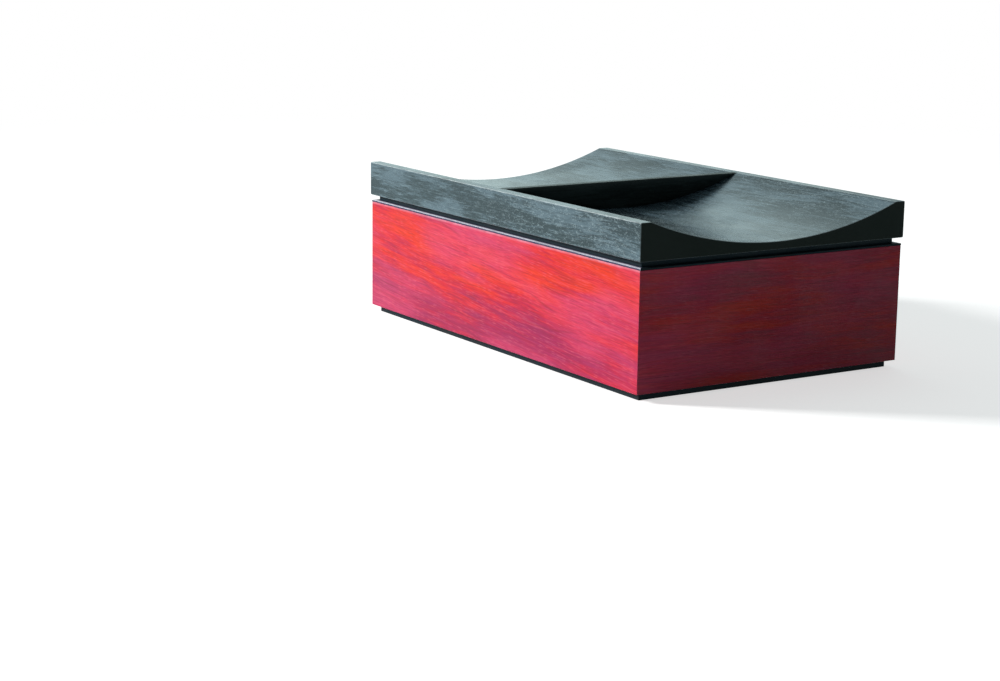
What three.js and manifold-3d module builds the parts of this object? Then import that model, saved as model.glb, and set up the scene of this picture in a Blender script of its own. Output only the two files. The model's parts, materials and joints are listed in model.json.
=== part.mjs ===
// A lidded jewel box: mitred hardwood sides on a recessed plinth, a coved lift-off lid with a rib
// let in across the cove as its grip, and a divided tray that lifts out of the inside.
// Millimetres, +Z up, +X along the box, -Y to the front, origin under the middle of the plinth.
import * as THREE from 'three';
import { ConvexGeometry } from 'three/addons/geometries/ConvexGeometry.js';
import { mergeVertices } from 'three/addons/utils/BufferGeometryUtils.js';
import Module from 'manifold-3d';

// Box sides
const length = 280;
const width = 174.5;
const sideHeight = 63.8;
const wall = 10;
const arris = 0.4;

// Plinth strips under the sides, set back from their faces
const plinthHeight = 4;
const plinthInset = 4;
const plinthWidth = 14;

// Lipping on the top edge of the sides
const rimHeight = 1;
const rimArris = 0.2;

// Bottom panel, held in a groove round the inside
const panelThickness = 5;
const panelLift = 5;
const grooveDepth = 4;
const panelPlay = 0.3;

// Loose tongue in each mitred corner, set outside the groove
const tongueThickness = 2;
const tongueWidth = 6;
const tonguePlay = 0.15;
const slotSetback = 0.3;

// Lid board with its cove, and the rib across it
const lidThickness = 20;
const lidOverhang = 0.5;
const lidArris = 0.8;
const webThickness = 4.4;
const railWidth = 6.5;
const coveArris = 1;
const ribThickness = 5.5;
const ribArris = 0.5;
const housingDepth = 1;
const housingPlay = 0.2;

// Inset board that makes the shadow gap, and the locating lips under it
const gapHeight = 3.2;
const gapInset = 3.5;
const lipHeight = 4;
const lipWidth = 6;
const lipPlay = 0.4;
const lipLead = 1;

// Lift-out tray and the runners that carry it
const lowerHeight = 24;
const runnerWidth = 5;
const runnerHeight = 8;
const trayPlay = 0.75;
const trayHeadroom = 2.8;
const trayWall = 6;
const trayBaseThickness = 3;
const rebateDepth = 3;
const notchWidth = 24;
const notchDepth = 8;

// Dividers in the tray
const ringZoneLength = 78;
const dividerThickness = 4;
const dividerDrop = 2;
const dadoDepth = 1.5;
const dadoPlay = 0.2;
const columnCount = 3;
const rowCount = 2;

// Suede-covered pads and ring rolls
const padClearance = 0.3;
const padHeight = 3;
const padCrown = 0.7;
const padDrawIn = 0.5;
const rollCount = 4;
const rollDrop = 5.5;
const rollDrawIn = 0.3;
const seamShare = 0.35;
const padSteps = 10;
const padEdgePower = 9;
const rollSteps = 12;
const rollCrossPower = 2.3;
const rollEndPower = 14;

// Cutting and facets
const cutOverrun = 1;
const coveSegments = 48;
const notchSegments = 48;

// Sizes worked out from the ones above
const innerLength = length - 2 * wall;
const innerWidth = width - 2 * wall;
const floorTop = plinthHeight + panelLift + panelThickness;
const rimTop = plinthHeight + sideHeight + rimHeight;
const lidLength = length + 2 * lidOverhang;
const lidWidth = width + 2 * lidOverhang;
const coveChord = lidWidth - 2 * railWidth;
const coveDepth = lidThickness - webThickness;
const coveRadius = arcRadius(coveChord, coveDepth);
const ribReach = coveChord / 2 + coveArris;
const traySeat = floorTop + lowerHeight;
const trayLength = innerLength - 2 * trayPlay;
const trayWidth = innerWidth - 2 * trayPlay;
const trayHeight = rimTop - lipHeight - trayHeadroom - traySeat;
const trayInnerLength = trayLength - 2 * trayWall;
const trayInnerWidth = trayWidth - 2 * trayWall;
const dividerHeight = trayHeight - trayBaseThickness - dividerDrop;
const dadoReach = dadoDepth - dadoPlay;

const wasm = await Module();
wasm.setup();

// Radius of the arc that stands on a chord and rises to a depth.
function arcRadius(chord, depth) {
  return chord ** 2 / (8 * depth) + depth / 2;
}

// A closed geometry as a solid that can be joined and cut.
function toSolid(geometry) {
  const bare = geometry.clone();
  bare.deleteAttribute('normal');
  bare.deleteAttribute('uv');
  const merged = mergeVertices(bare);
  const triVerts = new Uint32Array(merged.index.array);
  const vertProperties = merged.attributes.position.array;
  return new wasm.Manifold(new wasm.Mesh({ numProp: 3, vertProperties, triVerts }));
}

// A solid's surface as a geometry with flat-shaded faces.
function toGeometry(solid) {
  const mesh = solid.getMesh();
  const indexed = new THREE.BufferGeometry();
  indexed.setAttribute('position', new THREE.BufferAttribute(mesh.vertProperties, 3));
  indexed.setIndex(new THREE.BufferAttribute(mesh.triVerts, 1));
  const geometry = indexed.toNonIndexed();
  geometry.computeVertexNormals();
  return geometry;
}

// What is left of a geometry when the cutters have been taken away.
function cutAway(geometry, cutters) {
  let solid = toSolid(geometry);
  for (const cutter of cutters) {
    solid = solid.subtract(toSolid(cutter));
  }
  return toGeometry(solid);
}

// The part of a geometry that lies inside an envelope.
function keepWithin(geometry, envelope) {
  return toGeometry(toSolid(geometry).intersect(toSolid(envelope)));
}

// A box between two values on each axis.
function block(x, y, z) {
  const geometry = new THREE.BoxGeometry(x[1] - x[0], y[1] - y[0], z[1] - z[0]);
  return geometry.translate((x[0] + x[1]) / 2, (y[0] + y[1]) / 2, (z[0] + z[1]) / 2);
}

// A box between two values on each axis, with all its edges eased by a chamfer.
function easedBlock(x, y, z, ease) {
  const points = [];
  for (const sx of [0, 1]) {
    for (const sy of [0, 1]) {
      for (const sz of [0, 1]) {
        const corner = new THREE.Vector3(x[sx], y[sy], z[sz]);
        const inward = new THREE.Vector3(1 - 2 * sx, 1 - 2 * sy, 1 - 2 * sz).multiplyScalar(ease);
        for (const axis of [0, 1, 2]) {
          const step = inward.clone().setComponent(axis, 0);
          points.push(corner.clone().add(step));
        }
      }
    }
  }
  return new ConvexGeometry(points);
}

// A named piece in its own finish.
function piece(name, geometry, finish, place = [0, 0, 0]) {
  const mesh = new THREE.Mesh(geometry, new THREE.MeshStandardMaterial(finish));
  mesh.name = name;
  mesh.position.set(...place);
  return mesh;
}

const redWood = { color: 0xa32a1e, roughness: 0.42, metalness: 0 };
const blackWood = { color: 0x23272a, roughness: 0.55, metalness: 0 };
const panelBoard = { color: 0x3a2a22, roughness: 0.7, metalness: 0 };
const suede = { color: 0x2b2b2f, roughness: 0.95, metalness: 0 };

// The four corners of a rectangle in plan: front right, back right, back left, front left.
const cornerNames = ['front_right', 'back_right', 'back_left', 'front_left'];
const cornerSigns = [[1, -1], [1, 1], [-1, 1], [-1, -1]];
const sideNames = ['right', 'back', 'left', 'front'];

function cornersOf(outerLength, outerWidth) {
  return cornerSigns.map(([sx, sy]) => new THREE.Vector2((sx * outerLength) / 2, (sy * outerWidth) / 2));
}

// Where the slot for a corner's tongue crosses the mitre, and how it runs into the side.
const slotThickness = tongueThickness + 2 * tonguePlay;
const slotWidth = tongueWidth + 2 * tonguePlay;
const slotOffset = grooveDepth + slotSetback + (Math.SQRT1_2 * slotThickness) / 2;

function slotCentre(corner) {
  const [sx, sy] = cornerSigns[corner];
  return new THREE.Vector2(sx * (innerLength / 2 + slotOffset), sy * (innerWidth / 2 + slotOffset));
}

// The four points of the slot's outline, from the outer end of the mitre to the inner one.
function slotOutline(corner, along) {
  const outward = new THREE.Vector2(...cornerSigns[corner]).normalize();
  const across = new THREE.Vector2(-outward.y, outward.x);
  if (across.dot(along) < 0) {
    across.negate();
  }
  const centre = slotCentre(corner);
  const mouthOut = centre.clone().addScaledVector(outward, slotThickness / 2);
  const mouthIn = centre.clone().addScaledVector(outward, -slotThickness / 2);
  const endOut = mouthOut.clone().addScaledVector(across, slotWidth / 2);
  const endIn = mouthIn.clone().addScaledVector(across, slotWidth / 2);
  return [mouthOut, endOut, endIn, mouthIn];
}

// The plans of the four strips of a mitred frame, in the order of sideNames.
function mitredPlans(outerLength, outerWidth, stripWidth, slotted = false) {
  const outer = cornersOf(outerLength, outerWidth);
  const inner = cornersOf(outerLength - 2 * stripWidth, outerWidth - 2 * stripWidth);
  return sideNames.map((_, start) => {
    const end = (start + 1) % sideNames.length;
    const along = outer[end].clone().sub(outer[start]).normalize();
    const endSlot = slotted ? slotOutline(end, along.clone().negate()) : [];
    const startSlot = slotted ? slotOutline(start, along).reverse() : [];
    return [outer[start], outer[end], ...endSlot, inner[end], inner[start], ...startSlot];
  });
}

// A flat outline raised to a height.
function raise(points, height) {
  return new THREE.ExtrudeGeometry(new THREE.Shape(points), { depth: height, bevelEnabled: false });
}

// The block that a mitred frame's strips are eased to, from z = 0 up.
function frameEnvelope(outerLength, outerWidth, height, ease) {
  return easedBlock(
    [-outerLength / 2, outerLength / 2],
    [-outerWidth / 2, outerWidth / 2],
    [0, height],
    ease,
  );
}

// A mitred frame of four strips with eased outer edges, one piece a side.
function mitredFrame(prefix, { outerLength, outerWidth, stripWidth, height, ease, z }) {
  const envelope = frameEnvelope(outerLength, outerWidth, height, ease);
  return mitredPlans(outerLength, outerWidth, stripWidth).map((plan, side) => {
    const geometry = keepWithin(raise(plan, height), envelope);
    return piece(`${prefix}_${sideNames[side]}`, geometry, blackWood, [0, 0, z]);
  });
}

// A profile drawn across the box (shape x to the back, shape y up) and run along it, centred on x = 0.
function runAlong(shape, run, curveSegments) {
  const geometry = new THREE.ExtrudeGeometry(shape, { depth: run, curveSegments, bevelEnabled: false });
  const turn = new THREE.Matrix4().makeBasis(
    new THREE.Vector3(0, 1, 0),
    new THREE.Vector3(0, 0, 1),
    new THREE.Vector3(1, 0, 0),
  );
  return geometry.applyMatrix4(turn).translate(-run / 2, 0, 0);
}

// A stuffed form on a flat base at z = 0: a seam round its sides, a crowned top, and sides drawn in
// between the corners. The powers say how square each direction stays before it rolls over its edge.
function stuffedForm({ sizeX, sizeY, height, crown, drawIn, powerX, powerY, stepsX, stepsY }) {
  const seam = height * seamShare;
  const positions = [];
  const indices = [];
  const roll = (share, power) => Math.sqrt(Math.max(0, 1 - Math.abs(share) ** power));
  const spread = (step, steps) => Math.sin(((step / steps) * 2 - 1) * (Math.PI / 2));
  for (const top of [true, false]) {
    const first = positions.length / 3;
    for (let j = 0; j <= stepsY; j += 1) {
      for (let i = 0; i <= stepsX; i += 1) {
        const u = spread(i, stepsX);
        const v = spread(j, stepsY);
        const onEdge = i === 0 || j === 0 || i === stepsX || j === stepsY;
        const edge = onEdge ? 0 : roll(u, powerX) * roll(v, powerY);
        const rise = height - seam - crown * (1 - (1 - u ** 2) * (1 - v ** 2));
        positions.push(
          u * (sizeX / 2 - drawIn * (1 - v ** 2)),
          v * (sizeY / 2 - drawIn * (1 - u ** 2)),
          top ? seam + rise * edge : seam * (1 - edge),
        );
      }
    }
    for (let j = 0; j < stepsY; j += 1) {
      for (let i = 0; i < stepsX; i += 1) {
        const a = first + j * (stepsX + 1) + i;
        const b = a + 1;
        const c = a + stepsX + 1;
        const d = c + 1;
        indices.push(...(top ? [a, b, d, a, d, c] : [a, d, b, a, c, d]));
      }
    }
  }
  const geometry = new THREE.BufferGeometry();
  geometry.setAttribute('position', new THREE.Float32BufferAttribute(positions, 3));
  geometry.setIndex(indices);
  const welded = mergeVertices(geometry);
  welded.computeVertexNormals();
  return welded;
}

// A thin padded panel covered in suede.
function suedePad(sizeX, sizeY, height) {
  return stuffedForm({
    sizeX,
    sizeY,
    height,
    crown: padCrown,
    drawIn: padDrawIn,
    powerX: padEdgePower,
    powerY: padEdgePower,
    stepsX: padSteps,
    stepsY: padSteps,
  });
}

// Mitred sides with their tongues, the panel in its groove, the plinth and the lipping.
function makeBody() {
  const body = new THREE.Group();
  const groove = block(
    [-innerLength / 2 - grooveDepth, innerLength / 2 + grooveDepth],
    [-innerWidth / 2 - grooveDepth, innerWidth / 2 + grooveDepth],
    [panelLift, panelLift + panelThickness],
  );
  const sideTitles = ['right_end', 'back_side', 'left_end', 'front_side'];
  const envelope = frameEnvelope(length, width, sideHeight, arris);
  mitredPlans(length, width, wall, true).forEach((plan, side) => {
    const geometry = cutAway(keepWithin(raise(plan, sideHeight), envelope), [groove]);
    body.add(piece(sideTitles[side], geometry, redWood, [0, 0, plinthHeight]));
  });
  cornerNames.forEach((name, corner) => {
    const centre = slotCentre(corner);
    const [sx, sy] = cornerSigns[corner];
    const tongue = new THREE.BoxGeometry(tongueThickness, tongueWidth, sideHeight);
    const z = plinthHeight + sideHeight / 2;
    const mesh = piece(`tongue_${name}`, tongue, blackWood, [centre.x, centre.y, z]);
    mesh.rotation.z = Math.atan2(sy, sx);
    body.add(mesh);
  });

  const panelHalfX = innerLength / 2 + grooveDepth - panelPlay;
  const panelHalfY = innerWidth / 2 + grooveDepth - panelPlay;
  const panel = block([-panelHalfX, panelHalfX], [-panelHalfY, panelHalfY], [0, panelThickness]);
  body.add(piece('bottom_panel', panel, panelBoard, [0, 0, floorTop - panelThickness]));
  const floorPad = suedePad(innerLength - 2 * padClearance, innerWidth - 2 * padClearance, padHeight);
  body.add(piece('floor_pad', floorPad, suede, [0, 0, floorTop + padClearance]));

  const plinth = {
    outerLength: length - 2 * plinthInset,
    outerWidth: width - 2 * plinthInset,
    stripWidth: plinthWidth,
    height: plinthHeight,
    ease: arris,
    z: 0,
  };
  const rim = {
    outerLength: length,
    outerWidth: width,
    stripWidth: wall,
    height: rimHeight,
    ease: rimArris,
    z: plinthHeight + sideHeight,
  };
  body.add(...mitredFrame('plinth', plinth), ...mitredFrame('rim', rim));

  const runnerX = [-innerLength / 2, innerLength / 2];
  const runnerY = [-runnerWidth / 2, runnerWidth / 2];
  for (const [name, sign] of [['front', -1], ['back', 1]]) {
    const runner = easedBlock(runnerX, runnerY, [-runnerHeight, 0], arris);
    const y = sign * (innerWidth / 2 - runnerWidth / 2);
    body.add(piece(`runner_${name}`, runner, blackWood, [0, y, traySeat]));
  }
  return body;
}

// The outline under the rib: an arc that runs with the cove, at a distance below its surface, out
// over the cove's eased edges to the flat of the rails.
function ribOutline(below) {
  const radius = coveRadius + below;
  const reach = Math.asin(ribReach / radius);
  const shape = new THREE.Shape();
  shape.absarc(0, webThickness + coveRadius, radius, -Math.PI / 2 - reach, -Math.PI / 2 + reach, false);
  shape.lineTo(ribReach, lidThickness);
  shape.lineTo(-ribReach, lidThickness);
  shape.closePath();
  return shape;
}

// The rib with its long top edges eased, on a foot that follows the cove.
function gripRib() {
  const rib = runAlong(ribOutline(housingDepth), ribThickness, coveSegments);
  const envelope = easedBlock(
    [-ribThickness / 2, ribThickness / 2],
    [-lidWidth / 2, lidWidth / 2],
    [-lidThickness, lidThickness],
    ribArris,
  );
  return keepWithin(rib, envelope);
}

// The board with its cove run from end to end, its edges eased, and a housing cut across it for the rib.
function lidBoard() {
  const reach = Math.asin((coveChord / 2 - coveArris) / coveRadius);
  const profile = new THREE.Shape();
  profile.moveTo(-lidWidth / 2, 0);
  profile.lineTo(lidWidth / 2, 0);
  profile.lineTo(lidWidth / 2, lidThickness);
  profile.lineTo(ribReach, lidThickness);
  const centreZ = webThickness + coveRadius;
  profile.absarc(0, centreZ, coveRadius, -Math.PI / 2 + reach, -Math.PI / 2 - reach, true);
  profile.lineTo(-ribReach, lidThickness);
  profile.lineTo(-lidWidth / 2, lidThickness);
  profile.closePath();
  const envelope = frameEnvelope(lidLength, lidWidth, lidThickness, lidArris);
  const board = keepWithin(runAlong(profile, lidLength, coveSegments), envelope);
  const housing = runAlong(ribOutline(housingDepth + housingPlay), ribThickness, coveSegments);
  return cutAway(board, [housing]);
}

// The coved board, its grip rib, the gap board and what hangs inside the rim.
function makeLid() {
  const lid = new THREE.Group();
  lid.position.z = rimTop;
  lid.add(piece('lid_board', lidBoard(), blackWood, [0, 0, gapHeight]));
  lid.add(piece('grip_rib', gripRib(), blackWood, [0, 0, gapHeight]));
  const gapHalfX = length / 2 - gapInset;
  const gapHalfY = width / 2 - gapInset;
  const gapBoard = block([-gapHalfX, gapHalfX], [-gapHalfY, gapHalfY], [0, gapHeight]);
  lid.add(piece('gap_board', gapBoard, blackWood));

  const lip = {
    outerLength: innerLength - 2 * lipPlay,
    outerWidth: innerWidth - 2 * lipPlay,
    stripWidth: lipWidth,
    height: lipHeight,
    ease: lipLead,
    z: -lipHeight,
  };
  lid.add(...mitredFrame('lip', lip));
  const padLength = lip.outerLength - 2 * (lipWidth + padClearance);
  const padWidth = lip.outerWidth - 2 * (lipWidth + padClearance);
  const pad = piece('lid_pad', suedePad(padLength, padWidth, padHeight), suede, [0, 0, -padClearance]);
  pad.rotation.x = Math.PI;
  lid.add(pad);
  return lid;
}

// Places of the dividers, and the cells that they make, in the tray's own plan.
function trayLayout() {
  const leftFace = -trayInnerLength / 2;
  const partitionX = leftFace + ringZoneLength + dividerThickness / 2;
  const firstX = partitionX + dividerThickness / 2;
  const cellLength = (trayInnerLength / 2 - firstX - (columnCount - 1) * dividerThickness) / columnCount;
  const cellWidth = (trayInnerWidth - (rowCount - 1) * dividerThickness) / rowCount;
  const columnStep = cellLength + dividerThickness;
  const rowStep = cellWidth + dividerThickness;
  const crossX = [];
  for (let column = 1; column < columnCount; column += 1) {
    crossX.push(firstX + column * columnStep - dividerThickness / 2);
  }
  const longY = [];
  for (let row = 1; row < rowCount; row += 1) {
    longY.push(-trayInnerWidth / 2 + row * rowStep - dividerThickness / 2);
  }
  const cells = [];
  for (let row = 0; row < rowCount; row += 1) {
    for (let column = 0; column < columnCount; column += 1) {
      const x = firstX + column * columnStep + cellLength / 2;
      const y = -trayInnerWidth / 2 + row * rowStep + cellWidth / 2;
      cells.push([x, y]);
    }
  }
  return { leftFace, partitionX, firstX, crossX, longY, cells, cellLength, cellWidth };
}

// The values on either side of a divider's middle plane.
function faces(middle) {
  return [middle - dividerThickness / 2, middle + dividerThickness / 2];
}

// Tray walls with the rebate for the base, housings for the dividers and the finger notches.
function trayWalls(layout, dividerZ) {
  const rebate = block(
    [-trayInnerLength / 2 - rebateDepth, trayInnerLength / 2 + rebateDepth],
    [-trayInnerWidth / 2 - rebateDepth, trayInnerWidth / 2 + rebateDepth],
    [-cutOverrun, trayBaseThickness],
  );
  const dadoY = [-trayInnerWidth / 2 - dadoDepth, trayInnerWidth / 2 + dadoDepth];
  const cuts = [layout.partitionX, ...layout.crossX].map((x) => block(faces(x), dadoY, dividerZ));
  for (const y of layout.longY) {
    cuts.push(block([0, trayInnerLength / 2 + dadoDepth], faces(y), dividerZ));
  }
  const notchRadius = arcRadius(notchWidth, notchDepth);
  const notchRun = trayLength + 2 * cutOverrun;
  const notch = new THREE.CylinderGeometry(notchRadius, notchRadius, notchRun, notchSegments);
  notch.rotateZ(Math.PI / 2).translate(0, 0, trayHeight - notchDepth + notchRadius);
  cuts.push(rebate, notch);
  const envelope = frameEnvelope(trayLength, trayWidth, trayHeight, arris);
  return mitredPlans(trayLength, trayWidth, trayWall).map((plan, side) => {
    const geometry = cutAway(keepWithin(raise(plan, trayHeight), envelope), cuts);
    return piece(`tray_${sideNames[side]}`, geometry, redWood);
  });
}

// Dividers halved over each other where they cross.
function trayDividers(layout, dividerZ) {
  const halfZ = (dividerZ[0] + dividerZ[1]) / 2;
  const acrossY = [-trayInnerWidth / 2 - dadoReach, trayInnerWidth / 2 + dadoReach];
  const longX = [layout.firstX - dadoReach, trayInnerLength / 2 + dadoReach];
  const lowerHalf = [dividerZ[0] - cutOverrun, halfZ];
  const upperHalf = [halfZ, dividerZ[1] + cutOverrun];
  const dados = layout.longY.map((y) => block([layout.firstX - dadoDepth, layout.firstX], faces(y), dividerZ));
  const partition = cutAway(easedBlock(faces(layout.partitionX), acrossY, dividerZ, arris), dados);
  const pieces = [piece('ring_partition', partition, redWood)];
  layout.crossX.forEach((x, index) => {
    const slots = layout.longY.map((y) => block(faces(x), faces(y), lowerHalf));
    const cross = cutAway(easedBlock(faces(x), acrossY, dividerZ, arris), slots);
    pieces.push(piece(`cross_divider_${index + 1}`, cross, redWood));
  });
  layout.longY.forEach((y, index) => {
    const slots = layout.crossX.map((x) => block(faces(x), faces(y), upperHalf));
    const long = cutAway(easedBlock(longX, faces(y), dividerZ, arris), slots);
    pieces.push(piece(`long_divider_${index + 1}`, long, redWood));
  });
  return pieces;
}

// A pad in each cell, and the ring rolls side by side in the long compartment.
function traySoftParts(layout) {
  const z = trayBaseThickness + padClearance;
  const padLength = layout.cellLength - 2 * padClearance;
  const padWidth = layout.cellWidth - 2 * padClearance;
  const parts = layout.cells.map(([x, y], index) =>
    piece(`cell_pad_${index + 1}`, suedePad(padLength, padWidth, padHeight), suede, [x, y, z]),
  );
  const rollPitch = ringZoneLength / rollCount;
  for (let index = 0; index < rollCount; index += 1) {
    const roll = stuffedForm({
      sizeX: rollPitch - padClearance,
      sizeY: trayInnerWidth - 2 * padClearance,
      height: trayHeight - z - rollDrop,
      crown: 0,
      drawIn: rollDrawIn,
      powerX: rollCrossPower,
      powerY: rollEndPower,
      stepsX: rollSteps,
      stepsY: rollSteps,
    });
    const x = layout.leftFace + (index + 1 / 2) * rollPitch;
    parts.push(piece(`ring_roll_${index + 1}`, roll, suede, [x, 0, z]));
  }
  return parts;
}

// The whole tray, standing on the runners.
function makeTray() {
  const tray = new THREE.Group();
  tray.position.z = traySeat;
  const layout = trayLayout();
  const dividerZ = [trayBaseThickness, trayBaseThickness + dividerHeight];
  tray.add(...trayWalls(layout, dividerZ));
  const baseHalfX = trayInnerLength / 2 + rebateDepth - panelPlay;
  const baseHalfY = trayInnerWidth / 2 + rebateDepth - panelPlay;
  const base = block([-baseHalfX, baseHalfX], [-baseHalfY, baseHalfY], [0, trayBaseThickness]);
  tray.add(piece('tray_base', base, panelBoard));
  tray.add(...trayDividers(layout, dividerZ));
  tray.add(...traySoftParts(layout));
  return tray;
}

const jewelBox = new THREE.Group();
jewelBox.add(makeBody(), makeLid(), makeTray());

export default jewelBox;
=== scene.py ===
"""Dresses a wooden jewel box: red mitred sides, a black coved lid with a grip rib, and a suede-lined tray.

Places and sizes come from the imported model's own boxes, in metres, with +X along the box, -Y to the front
and +Z up. The sizes of grain and figure are in millimetres.
"""

import json
import logging
import math
from dataclasses import dataclass, field, replace
from enum import Enum
from typing import Sequence

import bmesh
import bpy
from mathutils import Matrix, Vector, noise

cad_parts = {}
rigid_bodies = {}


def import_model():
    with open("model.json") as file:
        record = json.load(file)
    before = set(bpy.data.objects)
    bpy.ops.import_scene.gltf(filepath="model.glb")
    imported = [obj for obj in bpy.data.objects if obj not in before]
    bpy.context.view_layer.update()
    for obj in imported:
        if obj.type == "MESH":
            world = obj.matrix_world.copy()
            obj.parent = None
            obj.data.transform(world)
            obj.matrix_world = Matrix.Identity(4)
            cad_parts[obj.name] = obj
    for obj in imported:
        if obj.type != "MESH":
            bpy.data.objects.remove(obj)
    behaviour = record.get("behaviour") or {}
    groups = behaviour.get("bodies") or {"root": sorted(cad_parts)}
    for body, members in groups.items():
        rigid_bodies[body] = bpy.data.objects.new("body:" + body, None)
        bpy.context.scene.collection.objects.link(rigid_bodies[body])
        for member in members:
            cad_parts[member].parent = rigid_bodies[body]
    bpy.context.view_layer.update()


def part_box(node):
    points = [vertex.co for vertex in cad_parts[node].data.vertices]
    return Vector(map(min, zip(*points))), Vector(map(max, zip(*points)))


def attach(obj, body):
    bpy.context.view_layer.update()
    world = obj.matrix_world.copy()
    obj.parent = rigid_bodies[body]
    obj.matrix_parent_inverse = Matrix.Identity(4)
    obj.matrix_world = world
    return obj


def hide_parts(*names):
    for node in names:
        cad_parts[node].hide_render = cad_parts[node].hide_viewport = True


Colour = tuple[float, float, float]
Material = bpy.types.Material
Node = bpy.types.Node
Pair = tuple[float, float]
Piece = bpy.types.Object
Point = tuple[float, float, float]
Range = tuple[float, ...]  # From, to and the values there, as Graph.between takes them.
Socket = bpy.types.NodeSocket
Tree = bpy.types.NodeTree

BLACK = (0.0, 0.0, 0.0)
EASE_STEPS = 4
HELD = "held"
LOG = logging.getLogger("jewel_box")
MIX_COLOURS = (6, 7)  # A Mix node has sockets for every data type, so colours are found by number.
MIX_RESULT = 2
MM = 0.001
WHITE = (1.0, 1.0, 1.0)


class Along(Enum):
    """The axis that a bar, a board or a board's grain runs along."""

    X = 0
    Y = 1
    Z = 2

    @property
    def across(self) -> tuple[int, int]:
        """The two axes of a section square to this axis."""
        return (self.value + 1) % 3, (self.value + 2) % 3

    def place(self, a: float, b: float, s: float) -> Vector:
        """Turns a section point and a distance along the axis into a point of the box.

        Args:
            a: First coordinate in the section.
            b: Second coordinate in the section.
            s: Distance along this axis.

        Returns:
            The point, with its coordinates in X, Y, Z order.
        """
        first, second = self.across
        point = [s, s, s]
        point[first] = a
        point[second] = b
        return Vector(point)


class Side(Enum):
    """A side of a mitred frame, with the way its strip runs and the way into the box."""

    FRONT = ("front", (1, 0, 0), (0, 1, 0))
    RIGHT = ("right", (0, 1, 0), (-1, 0, 0))
    BACK = ("back", (-1, 0, 0), (0, -1, 0))
    LEFT = ("left", (0, -1, 0), (1, 0, 0))

    @property
    def label(self) -> str:
        """The side's name in a node's name."""
        return self.value[0]

    @property
    def run(self) -> Vector:
        """Unit vector along the strip."""
        return Vector(self.value[1])

    @property
    def inward(self) -> Vector:
        """Unit vector from the strip's outer face into the box."""
        return Vector(self.value[2])

    @property
    def grain(self) -> Along:
        """The axis that the strip's grain runs along."""
        return Along.X if self in (Side.FRONT, Side.BACK) else Along.Y


@dataclass(frozen=True)
class Corner:
    """A corner of a section, eased to a radius, or a point on a curve where the radius is zero."""

    a: float
    b: float
    radius: float = 0.0


@dataclass(frozen=True)
class Edge:
    """A point of a section or of a swept piece: where it is, which way it faces, and how much it is
    lightened, for use and for painted highlight.
    """

    at: Vector
    facing: Vector
    wear: float = 0.0


@dataclass(frozen=True)
class Slice:
    """A section that a bar passes through at one place along it."""

    at: float
    section: Sequence[Edge]


@dataclass(frozen=True)
class Notch:
    """A finger notch: an arc let into a strip's top at its middle, above a floor that it leaves alone."""

    floor: float
    width: float = 24.0 * MM
    depth: float = 8.0 * MM
    reach_share: float = 0.55
    steps: int = 48
    slope_step: float = MM / 4

    @property
    def stations(self) -> list[float]:
        """Places along the strip that get a ring of their own."""
        reach = self.width * self.reach_share
        return [reach * (2 * step / self.steps - 1) for step in range(self.steps + 1)]

    def rise(self, along: float) -> float:
        """How far the top rises at a distance from the strip's middle, below zero where it is cut.

        Args:
            along: The distance.

        Returns:
            The rise.
        """
        half = self.width / 2
        if abs(along) >= half:
            return 0.0
        radius = half**2 / (2 * self.depth) + self.depth / 2
        return radius - self.depth - math.sqrt(radius**2 - along**2)

    def slope(self, along: float) -> float:
        """How steeply the top climbs at a distance from the strip's middle."""
        step = self.slope_step
        return (self.rise(along + step) - self.rise(along - step)) / (2 * step)


def eased_section(corners: Sequence[Corner]) -> list[Edge]:
    """Rounds the corners of a closed section.

    Args:
        corners: The section's corners and curve points, anticlockwise.

    Returns:
        The section's points in the same order, with unit normals that point out of the material.
    """
    edges = []
    count = len(corners)
    for index, corner in enumerate(corners):
        here = Vector((corner.a, corner.b))
        before = corners[index - 1]
        after = corners[(index + 1) % count]
        arriving = (here - Vector((before.a, before.b))).normalized()
        leaving = (Vector((after.a, after.b)) - here).normalized()
        facing = Vector((arriving.y, -arriving.x))
        turn = math.atan2(arriving.x * leaving.y - arriving.y * leaving.x, arriving.dot(leaving))
        if corner.radius == 0.0:
            mean = facing + Vector((leaving.y, -leaving.x))
            edges.append(Edge(here, mean.normalized()))
            continue
        bulge = math.copysign(corner.radius, turn)
        start = here - arriving * (corner.radius * math.tan(abs(turn) / 2))
        centre = start - facing * bulge
        for step in range(EASE_STEPS + 1):
            share = step / EASE_STEPS
            normal = facing.copy()
            normal.rotate(Matrix.Rotation(turn * share, 2))
            # Convex corners are lightened along the arris: partly use, partly a painted highlight.
            wear = math.sin(math.pi * share) if turn > 0 else 0.0
            edges.append(Edge(centre + normal * bulge, normal, wear))
    return edges


def rectangle(low: Pair, high: Pair, radius: float) -> list[Corner]:
    """Lists the corners of a plain rectangular section.

    Args:
        low: Its lowest coordinates.
        high: Its highest coordinates.
        radius: How far its corners are eased.

    Returns:
        The four corners, anticlockwise.
    """
    return [Corner(a, b, radius) for a, b in (low, (high[0], low[1]), high, (low[0], high[1]))]


def link(name: str, mesh: bpy.types.Mesh) -> Piece:
    """Puts a mesh in the scene.

    Args:
        name: The new object's name.
        mesh: The mesh.

    Returns:
        The object.
    """
    piece = bpy.data.objects.new(name, mesh)
    bpy.context.scene.collection.objects.link(piece)
    return piece


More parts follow.
